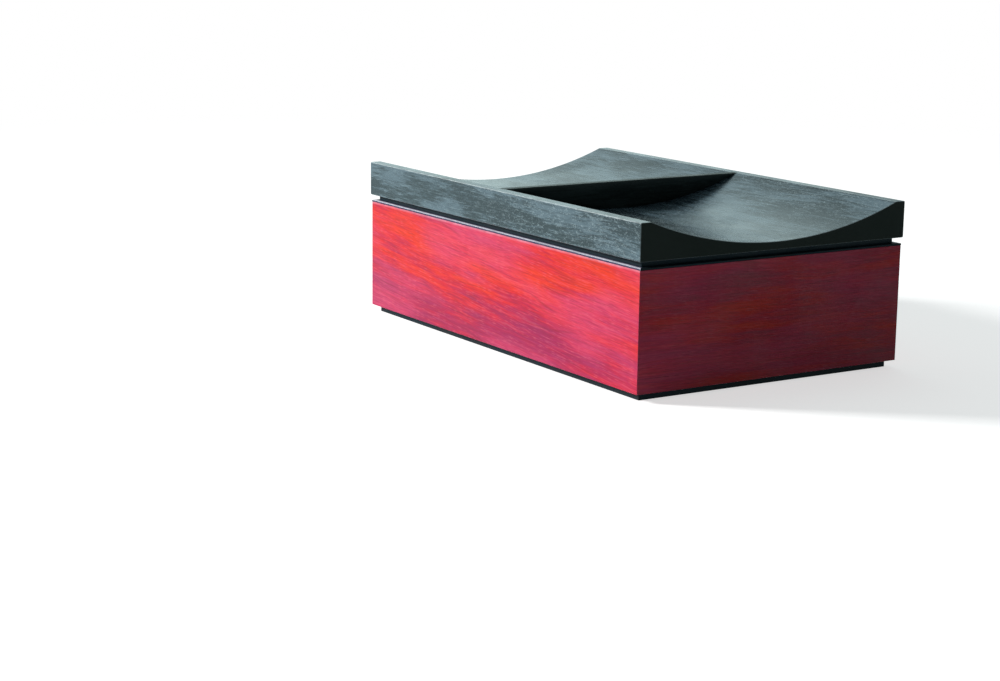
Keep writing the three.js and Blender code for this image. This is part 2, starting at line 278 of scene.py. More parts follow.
def skin(name: str, rings: Sequence[Sequence[Edge]], grain: Along = Along.X) -> Piece:
    """Joins rings of points into one closed mesh with exact normals, and marks edge lightening, for use and
    for painted highlight, and end grain.

    Args:
        name: The new object's name.
        rings: Rings of equal length, each anticlockwise as seen from the last ring's end.
        grain: The axis that the wood's grain runs along.

    Returns:
        The object, linked to the scene.
    """
    width = len(rings[0])
    points = [point for ring in rings for point in ring]
    faces: list[tuple[int, ...]] = [tuple(reversed(range(width)))]
    for ring in range(len(rings) - 1):
        for index in range(width):
            follower = (index + 1) % width
            low, high = ring * width, (ring + 1) * width
            faces.append((low + index, low + follower, high + follower, high + index))
    last = (len(rings) - 1) * width
    faces.append(tuple(range(last, last + width)))
    mesh = bpy.data.meshes.new(name)
    mesh.from_pydata([tuple(point.at) for point in points], [], faces)
    mesh.polygons.foreach_set("use_smooth", [True] * len(faces))
    normals = [point.facing.normalized() for point in points]
    wear = mesh.attributes.new("wear", "FLOAT", "POINT")
    wear.data.foreach_set("value", [point.wear for point in points])
    end_grain = mesh.attributes.new("end_grain", "FLOAT", "POINT")
    end_grain.data.foreach_set("value", [normal[grain.value] ** 2 for normal in normals])
    mesh.normals_split_custom_set_from_vertices([tuple(normal) for normal in normals])
    mesh.update()
    return link(name, mesh)


def eased_bar(
    name: str,
    section: Sequence[Edge],
    along: Along,
    span: Pair,
    ease: float,
    inner: Sequence[Slice] = (),
    end_wear: float = 1.0,
) -> Piece:
    """Runs a section along an axis and eases both ends.

    Args:
        name: The new object's name.
        section: The eased section, in the two axes across the one it runs along.
        along: The axis that it runs along.
        span: Where it starts and ends.
        ease: How far its ends are rounded over.
        inner: Sections that it passes through on the way, in order.
        end_wear: How far its ends' edges are lightened towards the section's second axis, with none
            opposite, for use and for painted highlight.

    Returns:
        The object.
    """

    def ring(edges: Sequence[Edge], at: float, way: int, angle: float) -> list[Edge]:
        """Places one ring of the bar.

        Args:
            edges: The section there.
            at: Where it is along the bar.
            way: Which way that end of the bar faces, -1 or 1.
            angle: How far round the eased end it is, up to a right angle on the bar's sides.

        Returns:
            The ring.
        """
        inset = ease * (1 - math.sin(angle))
        out = along.place(0, 0, way * math.cos(angle))
        points = []
        for edge in edges:
            flat = edge.at - edge.facing * inset
            facing = along.place(edge.facing.x, edge.facing.y, 0) * math.sin(angle)
            rubbed = end_wear * (1 + edge.facing.y) / 2
            wear = max(edge.wear * math.sin(angle), rubbed * math.sin(2 * angle))
            points.append(Edge(along.place(flat.x, flat.y, at), facing + out, wear))
        return points

    quarter = math.pi / 2
    angles = [quarter * step / EASE_STEPS for step in range(EASE_STEPS + 1)]
    rings = [ring(section, span[0] + ease * (1 - math.cos(angle)), -1, angle) for angle in angles]
    rings += [ring(part.section, part.at, 1, quarter) for part in inner]
    rings += [ring(section, span[1] - ease * (1 - math.cos(angle)), 1, angle) for angle in reversed(angles)]
    return skin(name, rings)


def filling_bar(node: str, part: str, along: Along, radius: float, ease: float) -> Piece:
    """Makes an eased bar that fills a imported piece's box.

    Args:
        node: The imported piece.
        part: What the bar is, for the end of its name.
        along: The axis that it runs along.
        radius: How far the edges of its section are eased.
        ease: How far its ends are rounded over.

    Returns:
        The bar.
    """
    low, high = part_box(node)
    first, second = along.across
    corners = rectangle((low[first], low[second]), (high[first], high[second]), radius)
    span = (low[along.value], high[along.value])
    return eased_bar(f"{node}_{part}", eased_section(corners), along, span, ease)


def mitred_strip(
    name: str,
    side: Side,
    half: Pair,
    section: Sequence[Edge],
    ease: float,
    corner_wear: float = 1.0,
    notch: Notch | None = None,
) -> Piece:
    """Makes one strip of a mitred frame, with its share of each eased outer corner.

    Args:
        name: The new object's name.
        side: Which side of the frame it is.
        half: Half the frame's outer length and width.
        section: The strip's section, as (depth into the box, height).
        ease: Radius of the frame's outer corners.
        corner_wear: How far the frame's outer corners are lightened, for use and for painted highlight.
        notch: The finger notch in its top, if it has one.

    Returns:
        The object.
    """
    run, inward = side.run, side.inward
    half_run, half_across = half if run.x else reversed(half)
    origin = -inward * half_across

    def corner_point(edge: Edge, way: int, step: int) -> Edge:
        """Places one point of a ring at an end of the strip.

        Args:
            edge: The point in the section.
            way: Which end it is at, -1 or 1.
            step: How far round the outer corner the ring is.

        Returns:
            The point.
        """
        angle = step / EASE_STEPS * math.pi / 4
        depth = edge.at.x
        if depth < ease:
            along = half_run - ease + (ease - depth) * math.sin(angle)
            depth = ease - (ease - depth) * math.cos(angle)
        else:
            along = half_run - depth - ease * (EASE_STEPS - step) / EASE_STEPS
        facing = inward * edge.facing.x + Vector((0, 0, edge.facing.y))
        wear = edge.wear
        if edge.facing.x < 0 and depth < ease:
            turned = run * way * math.sin(angle) - inward * math.cos(angle)
            facing = turned * -edge.facing.x + Vector((0, 0, edge.facing.y))
            wear = max(wear, corner_wear * math.sin(2 * angle) * -edge.facing.x)
        point = origin + run * way * along + inward * depth + Vector((0, 0, edge.at.y))
        return Edge(point, facing, wear)

    def notched_point(edge: Edge, cut: Notch, along: float) -> Edge:
        """Places one point of a ring at the notch.

        Args:
            edge: The point in the section.
            cut: The notch.
            along: How far the ring is from the strip's middle.

        Returns:
            The point.
        """
        lowered = edge.at.y > cut.floor
        rise = cut.rise(along) if lowered else 0.0
        point = origin + run * along + inward * edge.at.x + Vector((0, 0, edge.at.y + rise))
        facing = inward * edge.facing.x + Vector((0, 0, edge.facing.y))
        if lowered:
            facing -= run * cut.slope(along) * edge.facing.y
        return Edge(point, facing, edge.wear)

    steps = range(EASE_STEPS + 1)
    rings = [[corner_point(edge, -1, step) for edge in section] for step in reversed(steps)]
    if notch:
        rings += [[notched_point(edge, notch, along) for edge in section] for along in notch.stations]
    rings += [[corner_point(edge, 1, step) for edge in section] for step in steps]
    return skin(name, rings, side.grain)


@dataclass(frozen=True)
class Stuffing:
    """The form of a padded piece: how square its top is, how far it domes and how its sides pull in."""

    side_power: float
    end_power: float
    dome: float = 0.0
    draw_in: float = 0.0
    pucker: float = 0.0
    pucker_size: float = 4 * MM
    pucker_power: int = 6
    steps: tuple[int, int] = (32, 32)
    fill: float = 0.6

    def height(self, s: float, t: float) -> float:
        """Height of the cover as a share of the piece's height.

        Args:
            s: Place across the piece, from -1 to 1.
            t: Place along it, from -1 to 1.

        Returns:
            The share, 0 at the border and 1 at the middle.
        """
        rounded = math.sqrt(max(0.0, 1 - abs(s) ** self.side_power) * max(0.0, 1 - abs(t) ** self.end_power))
        domed = (1 - s * s) * (1 - t * t)
        return rounded * (1 - self.dome + self.dome * domed)


def stuffed(name: str, low: Vector, high: Vector, form: Stuffing) -> Piece:
    """Makes a padded piece that lies flat on its underside.

    Args:
        name: The new object's name.
        low: Lowest corner of the space it fills.
        high: Highest corner of that space.
        form: Its form.

    Returns:
        The object, linked to the scene.
    """
    middle, reach = (low + high) / 2, (high - low) / 2
    columns, rows = form.steps
    points: list[Point] = []
    border: dict[tuple[int, int], int] = {}

    def point(column: int, row: int, share: float) -> Point:
        """Places one point of the cover or the underside.

        Args:
            column: Its step across the piece.
            row: Its step along it.
            share: Share of the cover's height that it has.

        Returns:
            The point.
        """
        s = math.sin(math.pi / 2 * (2 * column / columns - 1))
        t = math.sin(math.pi / 2 * (2 * row / rows - 1))
        x = middle.x + s * (reach.x - form.draw_in * (1 - t * t))
        y = middle.y + t * (reach.y - form.draw_in * (1 - s * s))
        edge = max(abs(s), abs(t)) ** form.pucker_power
        fold = noise.noise(Vector((x, y, middle.x + middle.y)) / form.pucker_size) * form.pucker * edge
        rise = form.height(s, t)
        return (x, y, low.z + share * rise * (2 * reach.z - form.pucker + fold))

    def grid(share: float) -> dict[tuple[int, int], int]:
        """Adds the points of the cover or the underside, which share their border.

        Args:
            share: Share of the cover's height that they have.

        Returns:
            Each point's number, by its steps across and along the piece.
        """
        found = {}
        for row in range(rows + 1):
            for column in range(columns + 1):
                place = (column, row)
                if place in border:
                    found[place] = border[place]
                    continue
                found[place] = len(points)
                points.append(point(column, row, share))
                if column in (0, columns) or row in (0, rows):
                    border[place] = found[place]
        return found

    faces = []
    for share in (1.0, 0.0):
        found = grid(share)
        for row in range(rows):
            for column in range(columns):
                face = [(column, row), (column + 1, row), (column + 1, row + 1), (column, row + 1)]
                faces.append([found[place] for place in (face if share else reversed(face))])
    mesh = bpy.data.meshes.new(name)
    mesh.from_pydata(points, [], faces)
    mesh.polygons.foreach_set("use_smooth", [True] * len(faces))
    mesh.update()
    piece = link(name, mesh)
    piece.vertex_groups.new(name=HELD).add([*border.values(), *found.values()], 1.0, "REPLACE")
    return piece


@dataclass(frozen=True)
class CoverCloth:
    """How the suede covers swell and crease over their stuffing."""

    pressure: float = 4.0
    loosest: float = 0.025
    mass: float = 0.02
    stiffness: float = 8.0
    bending: float = 0.2
    frames: int = 20
    cap: float = 0.6 * MM

    def settle(self, pads: dict[Piece, Stuffing]) -> None:
        """Runs the cloth of all the covers together and fixes the result in their meshes.

        Args:
            pads: The pads, with the points that are held down in a vertex group, and their forms.
        """
        for pad, form in pads.items():
            cloth = pad.modifiers.new("cover", "CLOTH")
            cloth.point_cache.frame_end = self.frames
            settings = cloth.settings
            settings.vertex_group_mass = HELD
            settings.mass = self.mass
            settings.use_pressure = True
            settings.uniform_pressure_force = self.pressure
            settings.shrink_min = -self.loosest * (1.0 - form.fill)
            settings.tension_stiffness = self.stiffness
            settings.compression_stiffness = self.stiffness
            settings.bending_stiffness = self.bending
            settings.effector_weights.gravity = 0.0
        scene = bpy.context.scene
        for frame in range(1, self.frames + 1):
            scene.frame_set(frame)
        depsgraph = bpy.context.evaluated_depsgraph_get()
        settled = {pad: [v.co.copy() for v in pad.evaluated_get(depsgraph).data.vertices] for pad in pads}
        for pad in pads:
            pad.modifiers.clear()
            self.fix(pad, settled[pad])
            smooth = pad.modifiers.new("smooth", "SUBSURF")
            smooth.levels = smooth.render_levels = 1
        scene.frame_set(1)

    def fix(self, pad: Piece, settled: Sequence[Vector]) -> None:
        """Moves a pad's points to where its cover settled, within the cap and the pad's own space.

        Args:
            pad: The pad.
            settled: Where the points settled.
        """
        points = pad.data.vertices
        group = pad.vertex_groups[HELD].index
        held = [v.co.z for v in points if any(entry.group == group for entry in v.groups)]
        base = sum(held) / len(held)
        low = Vector([min(v.co[axis] for v in points) for axis in range(3)])
        high = Vector([max(v.co[axis] for v in points) for axis in range(3)])
        moved = []
        for vertex, place in zip(points, settled):
            move = place - vertex.co
            move.length = min(move.length, self.cap)
            moved.append(vertex.co + move)
        space = max(high.z - base, base - low.z)
        squash = min(1.0, space / max(abs(place.z - base) for place in moved))
        shift = max((place - vertex.co).length for vertex, place in zip(points, moved))
        LOG.info("%s settled by up to %.2f mm, squashed to %.2f", pad.name, shift / MM, squash)
        for vertex, place in zip(points, moved):
            x = min(max(place.x, low.x), high.x)
            y = min(max(place.y, low.y), high.y)
            vertex.co = (x, y, base + (place.z - base) * squash)


def opaque(colour: Sequence[float]) -> tuple[float, float, float, float]:
    """Adds a full alpha to a colour."""
    return (*colour, 1.0)


class Graph:
    """Adds and joins the nodes of one shader tree."""

    def __init__(self, tree: Tree) -> None:
        """Starts with the tree of a material, a world or a node group."""
        self.tree = tree

    def add(self, kind: str, inputs: dict[str | int, object] | None = None, **settings: object) -> Node:
        """Adds a node.

        Args:
            kind: The node's type name.
            inputs: Values or sockets for its inputs, by name or index.
            settings: Attributes of the node.

        Returns:
            The node.
        """
        node = self.tree.nodes.new(kind)
        for key, value in settings.items():
            setattr(node, key, value)
        for key, value in (inputs or {}).items():
            self.feed(node.inputs[key], value)
        return node

    def feed(self, socket: Socket, value: object) -> None:
        """Joins a socket to an input, or sets the input's value.

        Args:
            socket: The input.
            value: An output socket, a number or a tuple.
        """
        if isinstance(value, Socket):
            self.tree.links.new(value, socket)
        else:
            socket.default_value = value

    def math(self, operation: str, a: object, b: object = 0.0, clamp: bool = False) -> Socket:
        """Adds a Math node and returns its output."""
        return self.add("ShaderNodeMath", {0: a, 1: b}, operation=operation, use_clamp=clamp).outputs[0]

    def vector_math(self, operation: str, *vectors: object) -> Socket:
        """Adds a Vector Math node and returns its output."""
        node = self.add("ShaderNodeVectorMath", dict(enumerate(vectors)), operation=operation)
        return node.outputs["Value" if operation in ("DOT_PRODUCT", "LENGTH") else "Vector"]

    def between(
        self, value: object, low: float, high: float, start: float = 0.0, end: float = 1.0
    ) -> Socket:
        """Maps a value smoothly from one range to another and returns the result."""
        inputs = {"Value": value, "From Min": low, "From Max": high, "To Min": start, "To Max": end}
        return self.add("ShaderNodeMapRange", inputs, interpolation_type="SMOOTHSTEP").outputs["Result"]

    def mix(self, share: object, a: object, b: object, blend: str = "MIX") -> Socket:
        """Mixes two colours.

        Args:
            share: How much of the second colour there is.
            a: The first colour.
            b: The second colour.
            blend: How they are mixed.

        Returns:
            The mixed colour.
        """
        first, second = MIX_COLOURS
        inputs = {0: share, first: a, second: b}
        return self.add("ShaderNodeMix", inputs, data_type="RGBA", blend_type=blend).outputs[MIX_RESULT]

    def coats(self, ground: object, *coats: tuple[object, Colour]) -> Socket:
        """Lays colours over a ground in turn.

        Args:
            ground: The colour of the ground.
            coats: Each coat's mask and colour.

        Returns:
            The colour over all.
        """
        for mask, colour in coats:
            ground = self.mix(mask, ground, opaque(colour))
        return ground

    def noise(
        self, vector: object, scale: object, detail: float = 2.0, rough: float = 0.5, warp: float = 0.0
    ) -> Socket:
        """Adds a Noise Texture and returns its value."""
        inputs = {"Vector": vector, "Scale": scale, "Detail": detail, "Roughness": rough, "Distortion": warp}
        return self.add("ShaderNodeTexNoise", inputs).outputs["Fac"]

    def place(self, group: Tree, inputs: dict[str, object]) -> bpy.types.NodeOutputs:
        """Places a node group, feeds its inputs and returns its outputs."""
        return self.add("ShaderNodeGroup", inputs, node_tree=group).outputs

    def read(self, attribute: str) -> Socket:
        """Reads a value that the mesh holds at each vertex and returns it."""
        return self.add("ShaderNodeAttribute", attribute_name=attribute).outputs["Fac"]

    def here(self) -> Socket:
        """Gives the point of the object."""
        return self.add("ShaderNodeTexCoord").outputs["Object"]

    def coordinate(self, along: Along) -> Socket:
        """Gives one coordinate of the point of the object."""
        return self.add("ShaderNodeSeparateXYZ", {0: self.here()}).outputs[along.value]

    def sized(self, vector: object, length: object, width: object) -> Socket:
        """Divides a vector by a length along the grain and a width across it.

        Args:
            vector: The vector, with X along the grain.
            length: The length.
            width: The width.

        Returns:
            The divided vector.
        """
        across = self.math("DIVIDE", 1.0, width)
        scale = self.add("ShaderNodeCombineXYZ", {0: self.math("DIVIDE", 1.0, length), 1: across, 2: across})
        return self.vector_math("MULTIPLY", vector, scale.outputs[0])

    def contour(self, field_of: Socket) -> Socket:
        """Gives the distance of a noise's value from its middle, for lines along its contour."""
        return self.math("ABSOLUTE", self.math("SUBTRACT", field_of, 0.5))

    def ramp(self, share: object, stops: Sequence[tuple[float, Colour]]) -> Socket:
        """Adds a colour ramp.

        Args:
            share: What the ramp reads.
            stops: Places from 0 to 1, each with a colour.

        Returns:
            The ramp's colour.
        """
        node = self.add("ShaderNodeValToRGB", {"Fac": share})
        ramp = node.color_ramp
        while len(ramp.elements) < len(stops):
            ramp.elements.new(0.5)
        for element, (place, colour) in zip(ramp.elements, stops):
            element.position = place
            element.color = opaque(colour)
        return node.outputs["Color"]


def new_group(
    name: str, inputs: dict[str, float], outputs: Sequence[str]
) -> tuple[Graph, dict[str, Socket], dict[str, Socket]]:
    """Starts a shader node group that reads a point in millimetres, with X along the grain.

    Args:
        name: The group's name.
        inputs: Its other inputs, with their default values.
        outputs: Its outputs.

    Returns:
        The group's graph, its input sockets by name, and the sockets that its outputs are fed through.
    """
    tree = bpy.data.node_groups.new(name, "ShaderNodeTree")
    tree.interface.new_socket("Vector", in_out="INPUT", socket_type="NodeSocketVector")
    for label, default in inputs.items():
        socket = tree.interface.new_socket(label, in_out="INPUT", socket_type="NodeSocketFloat")
        socket.default_value = default
    for label in outputs:
        tree.interface.new_socket(label, in_out="OUTPUT", socket_type="NodeSocketFloat")
    graph = Graph(tree)
    arrivals = graph.add("NodeGroupInput").outputs
    results = graph.add("NodeGroupOutput").inputs
    arriving = {label: arrivals[label] for label in ("Vector", *inputs)}
    return graph, arriving, {label: results[label] for label in outputs}


@dataclass(frozen=True)
class FigureSize:
    """How large a board's figure is, in millimetres along and across the grain, and how far it wanders."""

    patch: Pair = (90.0, 22.0)
    band: Pair = (110.0, 7.0)
    line: Pair = (160.0, 12.0)
    fibre: Pair = (10.0, 0.7)
    wander: float = 8.0

    def inputs(self) -> dict[str, float]:
        """Gives the sizes under the names of the figure group's inputs.

        Returns:
            The sizes by input.
        """
        sizes = {"Patch": self.patch, "Band": self.band, "Line": self.line, "Fibre": self.fibre}
        inputs = {"Wander": self.wander}
        for label, (along, across) in sizes.items():
            inputs[f"{label} Along"] = along
            inputs[f"{label} Across"] = across
        return inputs


@dataclass(frozen=True)
class PoreSize:
    """How long and wide a board's pores are, in millimetres, and how many of their places hold one."""

    length: float = 3.0
    width: float = 0.3
    amount: float = 0.4

    def inputs(self) -> dict[str, float]:
        """Gives the sizes under the names of the pore group's inputs."""
        return {"Pore Length": self.length, "Pore Width": self.width, "Amount": self.amount}


class Effects:
    """The node groups that several finishes share, each built once."""

    def __init__(self) -> None:
        """Builds every group."""
        self.figure = self._figure()
        self.pores = self._pores()
        self.curls = self._curls()
        self.edges = self._edges()
        self.handling = self._handling()

    @staticmethod
    def _figure() -> Tree:
        """The figure of a board.

        Returns:
            The group, which gives patches, bands, thin lines and fibres, each from 0 to 1.
        """
        labels = ("Patches", "Bands", "Lines", "Fibres")
        graph, inputs, outputs = new_group("Wood Figure", FigureSize().inputs(), labels)
        drift_size, gap_size = (75.0, 34.0), (40.0, 15.0)
        gaps, line_width = (0.42, 0.62), (0.004, 0.028)
        coarser, fibre_weight, fibre_shift = (0.3, 0.6, 0.6), 0.55, 0.05
        drift = graph.math("SUBTRACT", graph.noise(graph.sized(inputs["Vector"], *drift_size), 1.0), 0.5)
        away = graph.math("MULTIPLY", drift, inputs["Wander"])
        shift = graph.add("ShaderNodeCombineXYZ", {0: 0.0, 1: away, 2: away}).outputs[0]
        bent = graph.vector_math("ADD", inputs["Vector"], shift)
        patches, bands, lines, fibres = (
            graph.sized(bent, inputs[f"{label} Along"], inputs[f"{label} Across"])
            for label in ("Patch", "Band", "Line", "Fibre")
        )
        graph.feed(outputs["Patches"], graph.noise(patches, 1.0))
        graph.feed(outputs["Bands"], graph.noise(bands, 1.0, detail=4.0, rough=0.7))
        line = graph.between(graph.contour(graph.noise(lines, 1.0, detail=1.0)), *line_width, 1.0, 0.0)
        comes_and_goes = graph.between(graph.noise(graph.sized(bent, *gap_size), 1.0), *gaps)
        graph.feed(outputs["Lines"], graph.math("MULTIPLY", line, comes_and_goes))
        short = graph.math("MULTIPLY", graph.noise(fibres, 1.0, detail=3.0, rough=0.6), fibre_weight)
        stretched = graph.vector_math("MULTIPLY", fibres, coarser)
        long = graph.math("MULTIPLY", graph.noise(stretched, 1.0, rough=0.6, warp=0.6), fibre_weight)
        graph.feed(outputs["Fibres"], graph.math("SUBTRACT", graph.math("ADD", short, long), fibre_shift))
        return graph.tree

    @staticmethod
    def _pores() -> Tree:
        """Open pores of a board: short slots along the grain.

        Returns:
            The group, which gives a mask of the pores.
        """
        graph, inputs, outputs = new_group("Open Pores", PoreSize().inputs(), ("Mask",))
        slot_edge = (0.15, 0.45)
        field_of_pores = graph.sized(inputs["Vector"], inputs["Pore Length"], inputs["Pore Width"])
        cell_inputs = {"Vector": field_of_pores, "Scale": 1.0, "Randomness": 1.0}
        cells = graph.add("ShaderNodeTexVoronoi", cell_inputs, feature="F1")
        slot = graph.between(cells.outputs["Distance"], *slot_edge, 1.0, 0.0)
        chosen = graph.add("ShaderNodeSeparateColor", {0: cells.outputs["Color"]}).outputs[0]
        kept = graph.math("LESS_THAN", chosen, inputs["Amount"])
        graph.feed(outputs["Mask"], graph.math("MULTIPLY", slot, kept))
        return graph.tree

    @staticmethod
    def _curls() -> Tree:
        """Short pale curls and grains, where the cut crosses the fibres at changing angles.

        Returns:
            The group, which gives a mask of the curls.
        """
        sizes = {"Curl Length": 4.2, "Curl Spacing": 1.9}
        graph, inputs, outputs = new_group("Pale Curls", sizes, ("Mask",))
        curl_width, gap_size, gaps = (0.006, 0.04), (4.0, 2.0), (0.5, 0.6)
        grain_size, grain_range = (1.7, 0.8), (0.56, 0.72, 0.0, 0.9)
        field_of_curls = graph.sized(inputs["Vector"], inputs["Curl Length"], inputs["Curl Spacing"])
        nearness = graph.contour(graph.noise(field_of_curls, 1.0, detail=3.0, rough=0.65, warp=0.4))
        curl = graph.between(nearness, *curl_width, 1.0, 0.0)
        gap_noise = graph.noise(graph.sized(inputs["Vector"], *gap_size), 1.0, detail=3.0, rough=0.6)
        broken = graph.between(gap_noise, *gaps)
        grain_noise = graph.noise(graph.sized(inputs["Vector"], *grain_size), 1.0, rough=0.6)
        grains = graph.between(grain_noise, *grain_range)
        mask = graph.math("ADD", graph.math("MULTIPLY", curl, broken), grains, clamp=True)
        graph.feed(outputs["Mask"], mask)
        return graph.tree

    @staticmethod
    def _edges() -> Tree:
        """Lightening along eased edges, broken up so that it comes and goes: partly use, partly painted
        highlight.

        Returns:
            The group, which gives a mask from 0 to 1.
        """
        sizes = {"Wear": 0.0, "Patch Size": 12.0, "Strength": 0.5}
        graph, inputs, outputs = new_group("Edge Wear", sizes, ("Mask",))
        patch_range = (0.35, 0.7, 0.45, 1.0)
        size = graph.math("DIVIDE", 1.0, inputs["Patch Size"])
        patches = graph.between(graph.noise(inputs["Vector"], size, detail=4.0, rough=0.6), *patch_range)
        worn = graph.math("MULTIPLY", inputs["Wear"], patches)
        graph.feed(outputs["Mask"], graph.math("MULTIPLY", worn, inputs["Strength"], clamp=True))
        return graph.tree

    @staticmethod
    def _handling() -> Tree:
        """Unevenness of an oiled or brushed surface, from handling.

        Returns:
            The group, which gives a value around 0.5 that shifts roughness.
        """
        graph, inputs, outputs = new_group("Handling", {"Patch Size": 30.0}, ("Uneven",))
        size = graph.math("DIVIDE", 1.0, inputs["Patch Size"])
        graph.feed(outputs["Uneven"], graph.noise(inputs["Vector"], size, detail=4.0, rough=0.62, warp=0.4))
        return graph.tree


@dataclass(frozen=True)
class BoardLay:
    """How a board was cut: the way its grain runs, where in the plank it lay, and how the grain slopes."""

    grain: Along = Along.X
    origin: Point = (0.0, 0.0, 0.0)
    slope_deg: float = 0.0

    def vector(self, graph: Graph) -> Socket:
        """Gives a point of the plank in millimetres, with X along the grain.

        Args:
            graph: The material's graph.

        Returns:
            The socket with the point.
        """
        turn = -math.pi / 2 if self.grain is Along.Y else 0.0
        tip = math.pi / 2 if self.grain is Along.Z else 0.0
        to_plank = {
            "Vector": graph.here(),
            "Location": self.origin,
            "Rotation": (0.0, tip, turn),
            "Scale": (1 / MM,) * 3,
        }
        plank = graph.add("ShaderNodeMapping", to_plank).outputs[0]
        slope = {"Vector": plank, "Angle": math.radians(self.slope_deg)}
        return graph.add("ShaderNodeVectorRotate", slope, rotation_type="Y_AXIS").outputs[0]


@dataclass
class Shader:
    """A material with one Principled BSDF, and the graph that feeds it."""

    name: str
    constants: dict[str, object]
    handled: Pair = (0.3, 0.7)
    oiled: Pair = (-0.05, 0.07)
    fibre_relief: float = 0.6
    material: Material = field(init=False)
    graph: Graph = field(init=False)
    inputs: bpy.types.NodeInputs = field(init=False)

    def __post_init__(self) -> None:
        """Makes the material and sets the shader's inputs that are the same all over."""
        self.material = bpy.data.materials.new(self.name)
        self.material.use_nodes = True
        self.graph = Graph(self.material.node_tree)
        self.inputs = self.material.node_tree.nodes["Principled BSDF"].inputs
        for label, value in self.constants.items():
            self.inputs[label].default_value = value

    def colour(self, colour: object) -> None:
        """Feeds the shader its colour."""
        self.graph.feed(self.inputs["Base Color"], colour)

    def roughness(self, uneven: Socket, span: Pair, dulled: Socket | None = None) -> None:
        """Feeds the shader a roughness that handling has shifted.

        Args:
            uneven: What the handling effect gives.
            span: The roughness at the handling effect's low and high ends.
            dulled: Roughness added to it, if any.
        """
        rough = self.graph.between(uneven, *self.handled, *span)
        if dulled is not None:
            rough = self.graph.math("ADD", rough, dulled)
        self.graph.feed(self.inputs["Roughness"], rough)

    def oiled_roughness(self, uneven: Socket, level: float, dulled: Socket | None = None) -> None:
        """Feeds the shader the roughness of oiled wood, which handling shifts around a level."""
        self.roughness(uneven, (level + self.oiled[0], level + self.oiled[1]), dulled)

    def relief(self, height: object, strength: float, distance: float) -> None:
        """Feeds the shader normals from the surface's relief, a height in metres at full strength."""
        inputs = {"Height": height, "Strength": strength, "Distance": distance}
        self.graph.feed(self.inputs["Normal"], self.graph.add("ShaderNodeBump", inputs).outputs[0])

    def open_grain(self, fibres: Socket, pores: Socket, strength: float, distance: float) -> None:
        """Feeds the shader normals from raised fibres and sunk pores."""
        raised = self.graph.math("MULTIPLY", fibres, self.fibre_relief)
        self.relief(self.graph.math("SUBTRACT", raised, pores), strength, distance)


@dataclass(frozen=True)
class RedWood:
    """Oiled red hardwood: soft orange, crimson and purple bands, thin dark lines and fine fibres."""

    name: str
    lay: BoardLay
    fade: float = 0.0
    fade_span: Pair = (0.0, 0.068)
    orange: Colour = (0.86, 0.038, 0.008)
    scarlet: Colour = (0.76, 0.018, 0.028)
    crimson: Colour = (0.58, 0.012, 0.058)
    purple: Colour = (0.38, 0.014, 0.100)
    rose: Colour = (0.74, 0.066, 0.18)
    dark: Colour = (0.26, 0.006, 0.022)
    pink: Colour = (0.88, 0.17, 0.23)
    # Pink of the lightened edges: partly use, partly a painted highlight.
    rubbed: Colour = (0.92, 0.42, 0.55)
    figure: FigureSize = FigureSize(patch=(90.0, 26.0), band=(110.0, 10.0), fibre=(10.0, 0.55), wander=5.5)
    pale_pores: PoreSize = PoreSize(6.0, 0.55, 0.3)
    dark_pores: PoreSize = PoreSize(9.0, 0.6, 0.3)
    bands: Range = (0.26, 0.76)
    crimson_at: float = 0.36
    scarlet_at: float = 0.66
    rosy: Range = (0.42, 0.66, 0.0, 0.55)
    lines: float = 0.3
    dark_fibres: Range = (0.34, 0.54, 0.32, 0.0)
    pale_fibres: Range = (0.5, 0.7, 0.0, 0.26)
    pale_pore_strength: float = 0.28
    dark_pore_strength: float = 0.24
    wear: float = 1.0
    roughness: float = 0.38
    gloss: float = 0.2

    def material(self, effects: Effects) -> Material:
        """Builds the finish.

        Args:
            effects: The shared node groups.

        Returns:
            The material.
        """
        shader = Shader(self.name, {"IOR": 1.48, "Specular IOR Level": self.gloss})
        graph = shader.graph
        vector = self.lay.vector(graph)
        figure = graph.place(effects.figure, {"Vector": vector, **self.figure.inputs()})
        pale, dark = (
            graph.place(effects.pores, {"Vector": vector, **size.inputs()})["Mask"]
            for size in (self.pale_pores, self.dark_pores)
        )
        edges = {"Wear": graph.read("wear"), "Vector": vector, "Strength": self.wear}
        rise = graph.between(graph.coordinate(Along.Z), *self.fade_span, -self.fade / 2, self.fade / 2)
        ground = graph.ramp(
            graph.between(graph.math("ADD", figure["Bands"], rise), *self.bands),
            [
                (0.0, self.purple),
                (self.crimson_at, self.crimson),
                (self.scarlet_at, self.scarlet),
                (1.0, self.orange),
            ],
        )
        shader.colour(
            graph.coats(
                ground,
                (graph.between(figure["Patches"], *self.rosy), self.rose),
                (graph.math("MULTIPLY", figure["Lines"], self.lines), self.dark),
                (graph.between(figure["Fibres"], *self.dark_fibres), self.dark),
                (graph.between(figure["Fibres"], *self.pale_fibres), self.pink),
                (graph.math("MULTIPLY", pale, self.pale_pore_strength), self.pink),
                (graph.math("MULTIPLY", dark, self.dark_pore_strength), self.dark),
                # Eased edges lighten to pink: partly use, partly painted highlight.
                (graph.place(effects.edges, edges)["Mask"], self.rubbed),
            )
        )
        shader.oiled_roughness(graph.place(effects.handling, {"Vector": vector})["Uneven"], self.roughness)
        shader.open_grain(figure["Fibres"], dark, strength=0.3, distance=0.04 * MM)
        return shader.material


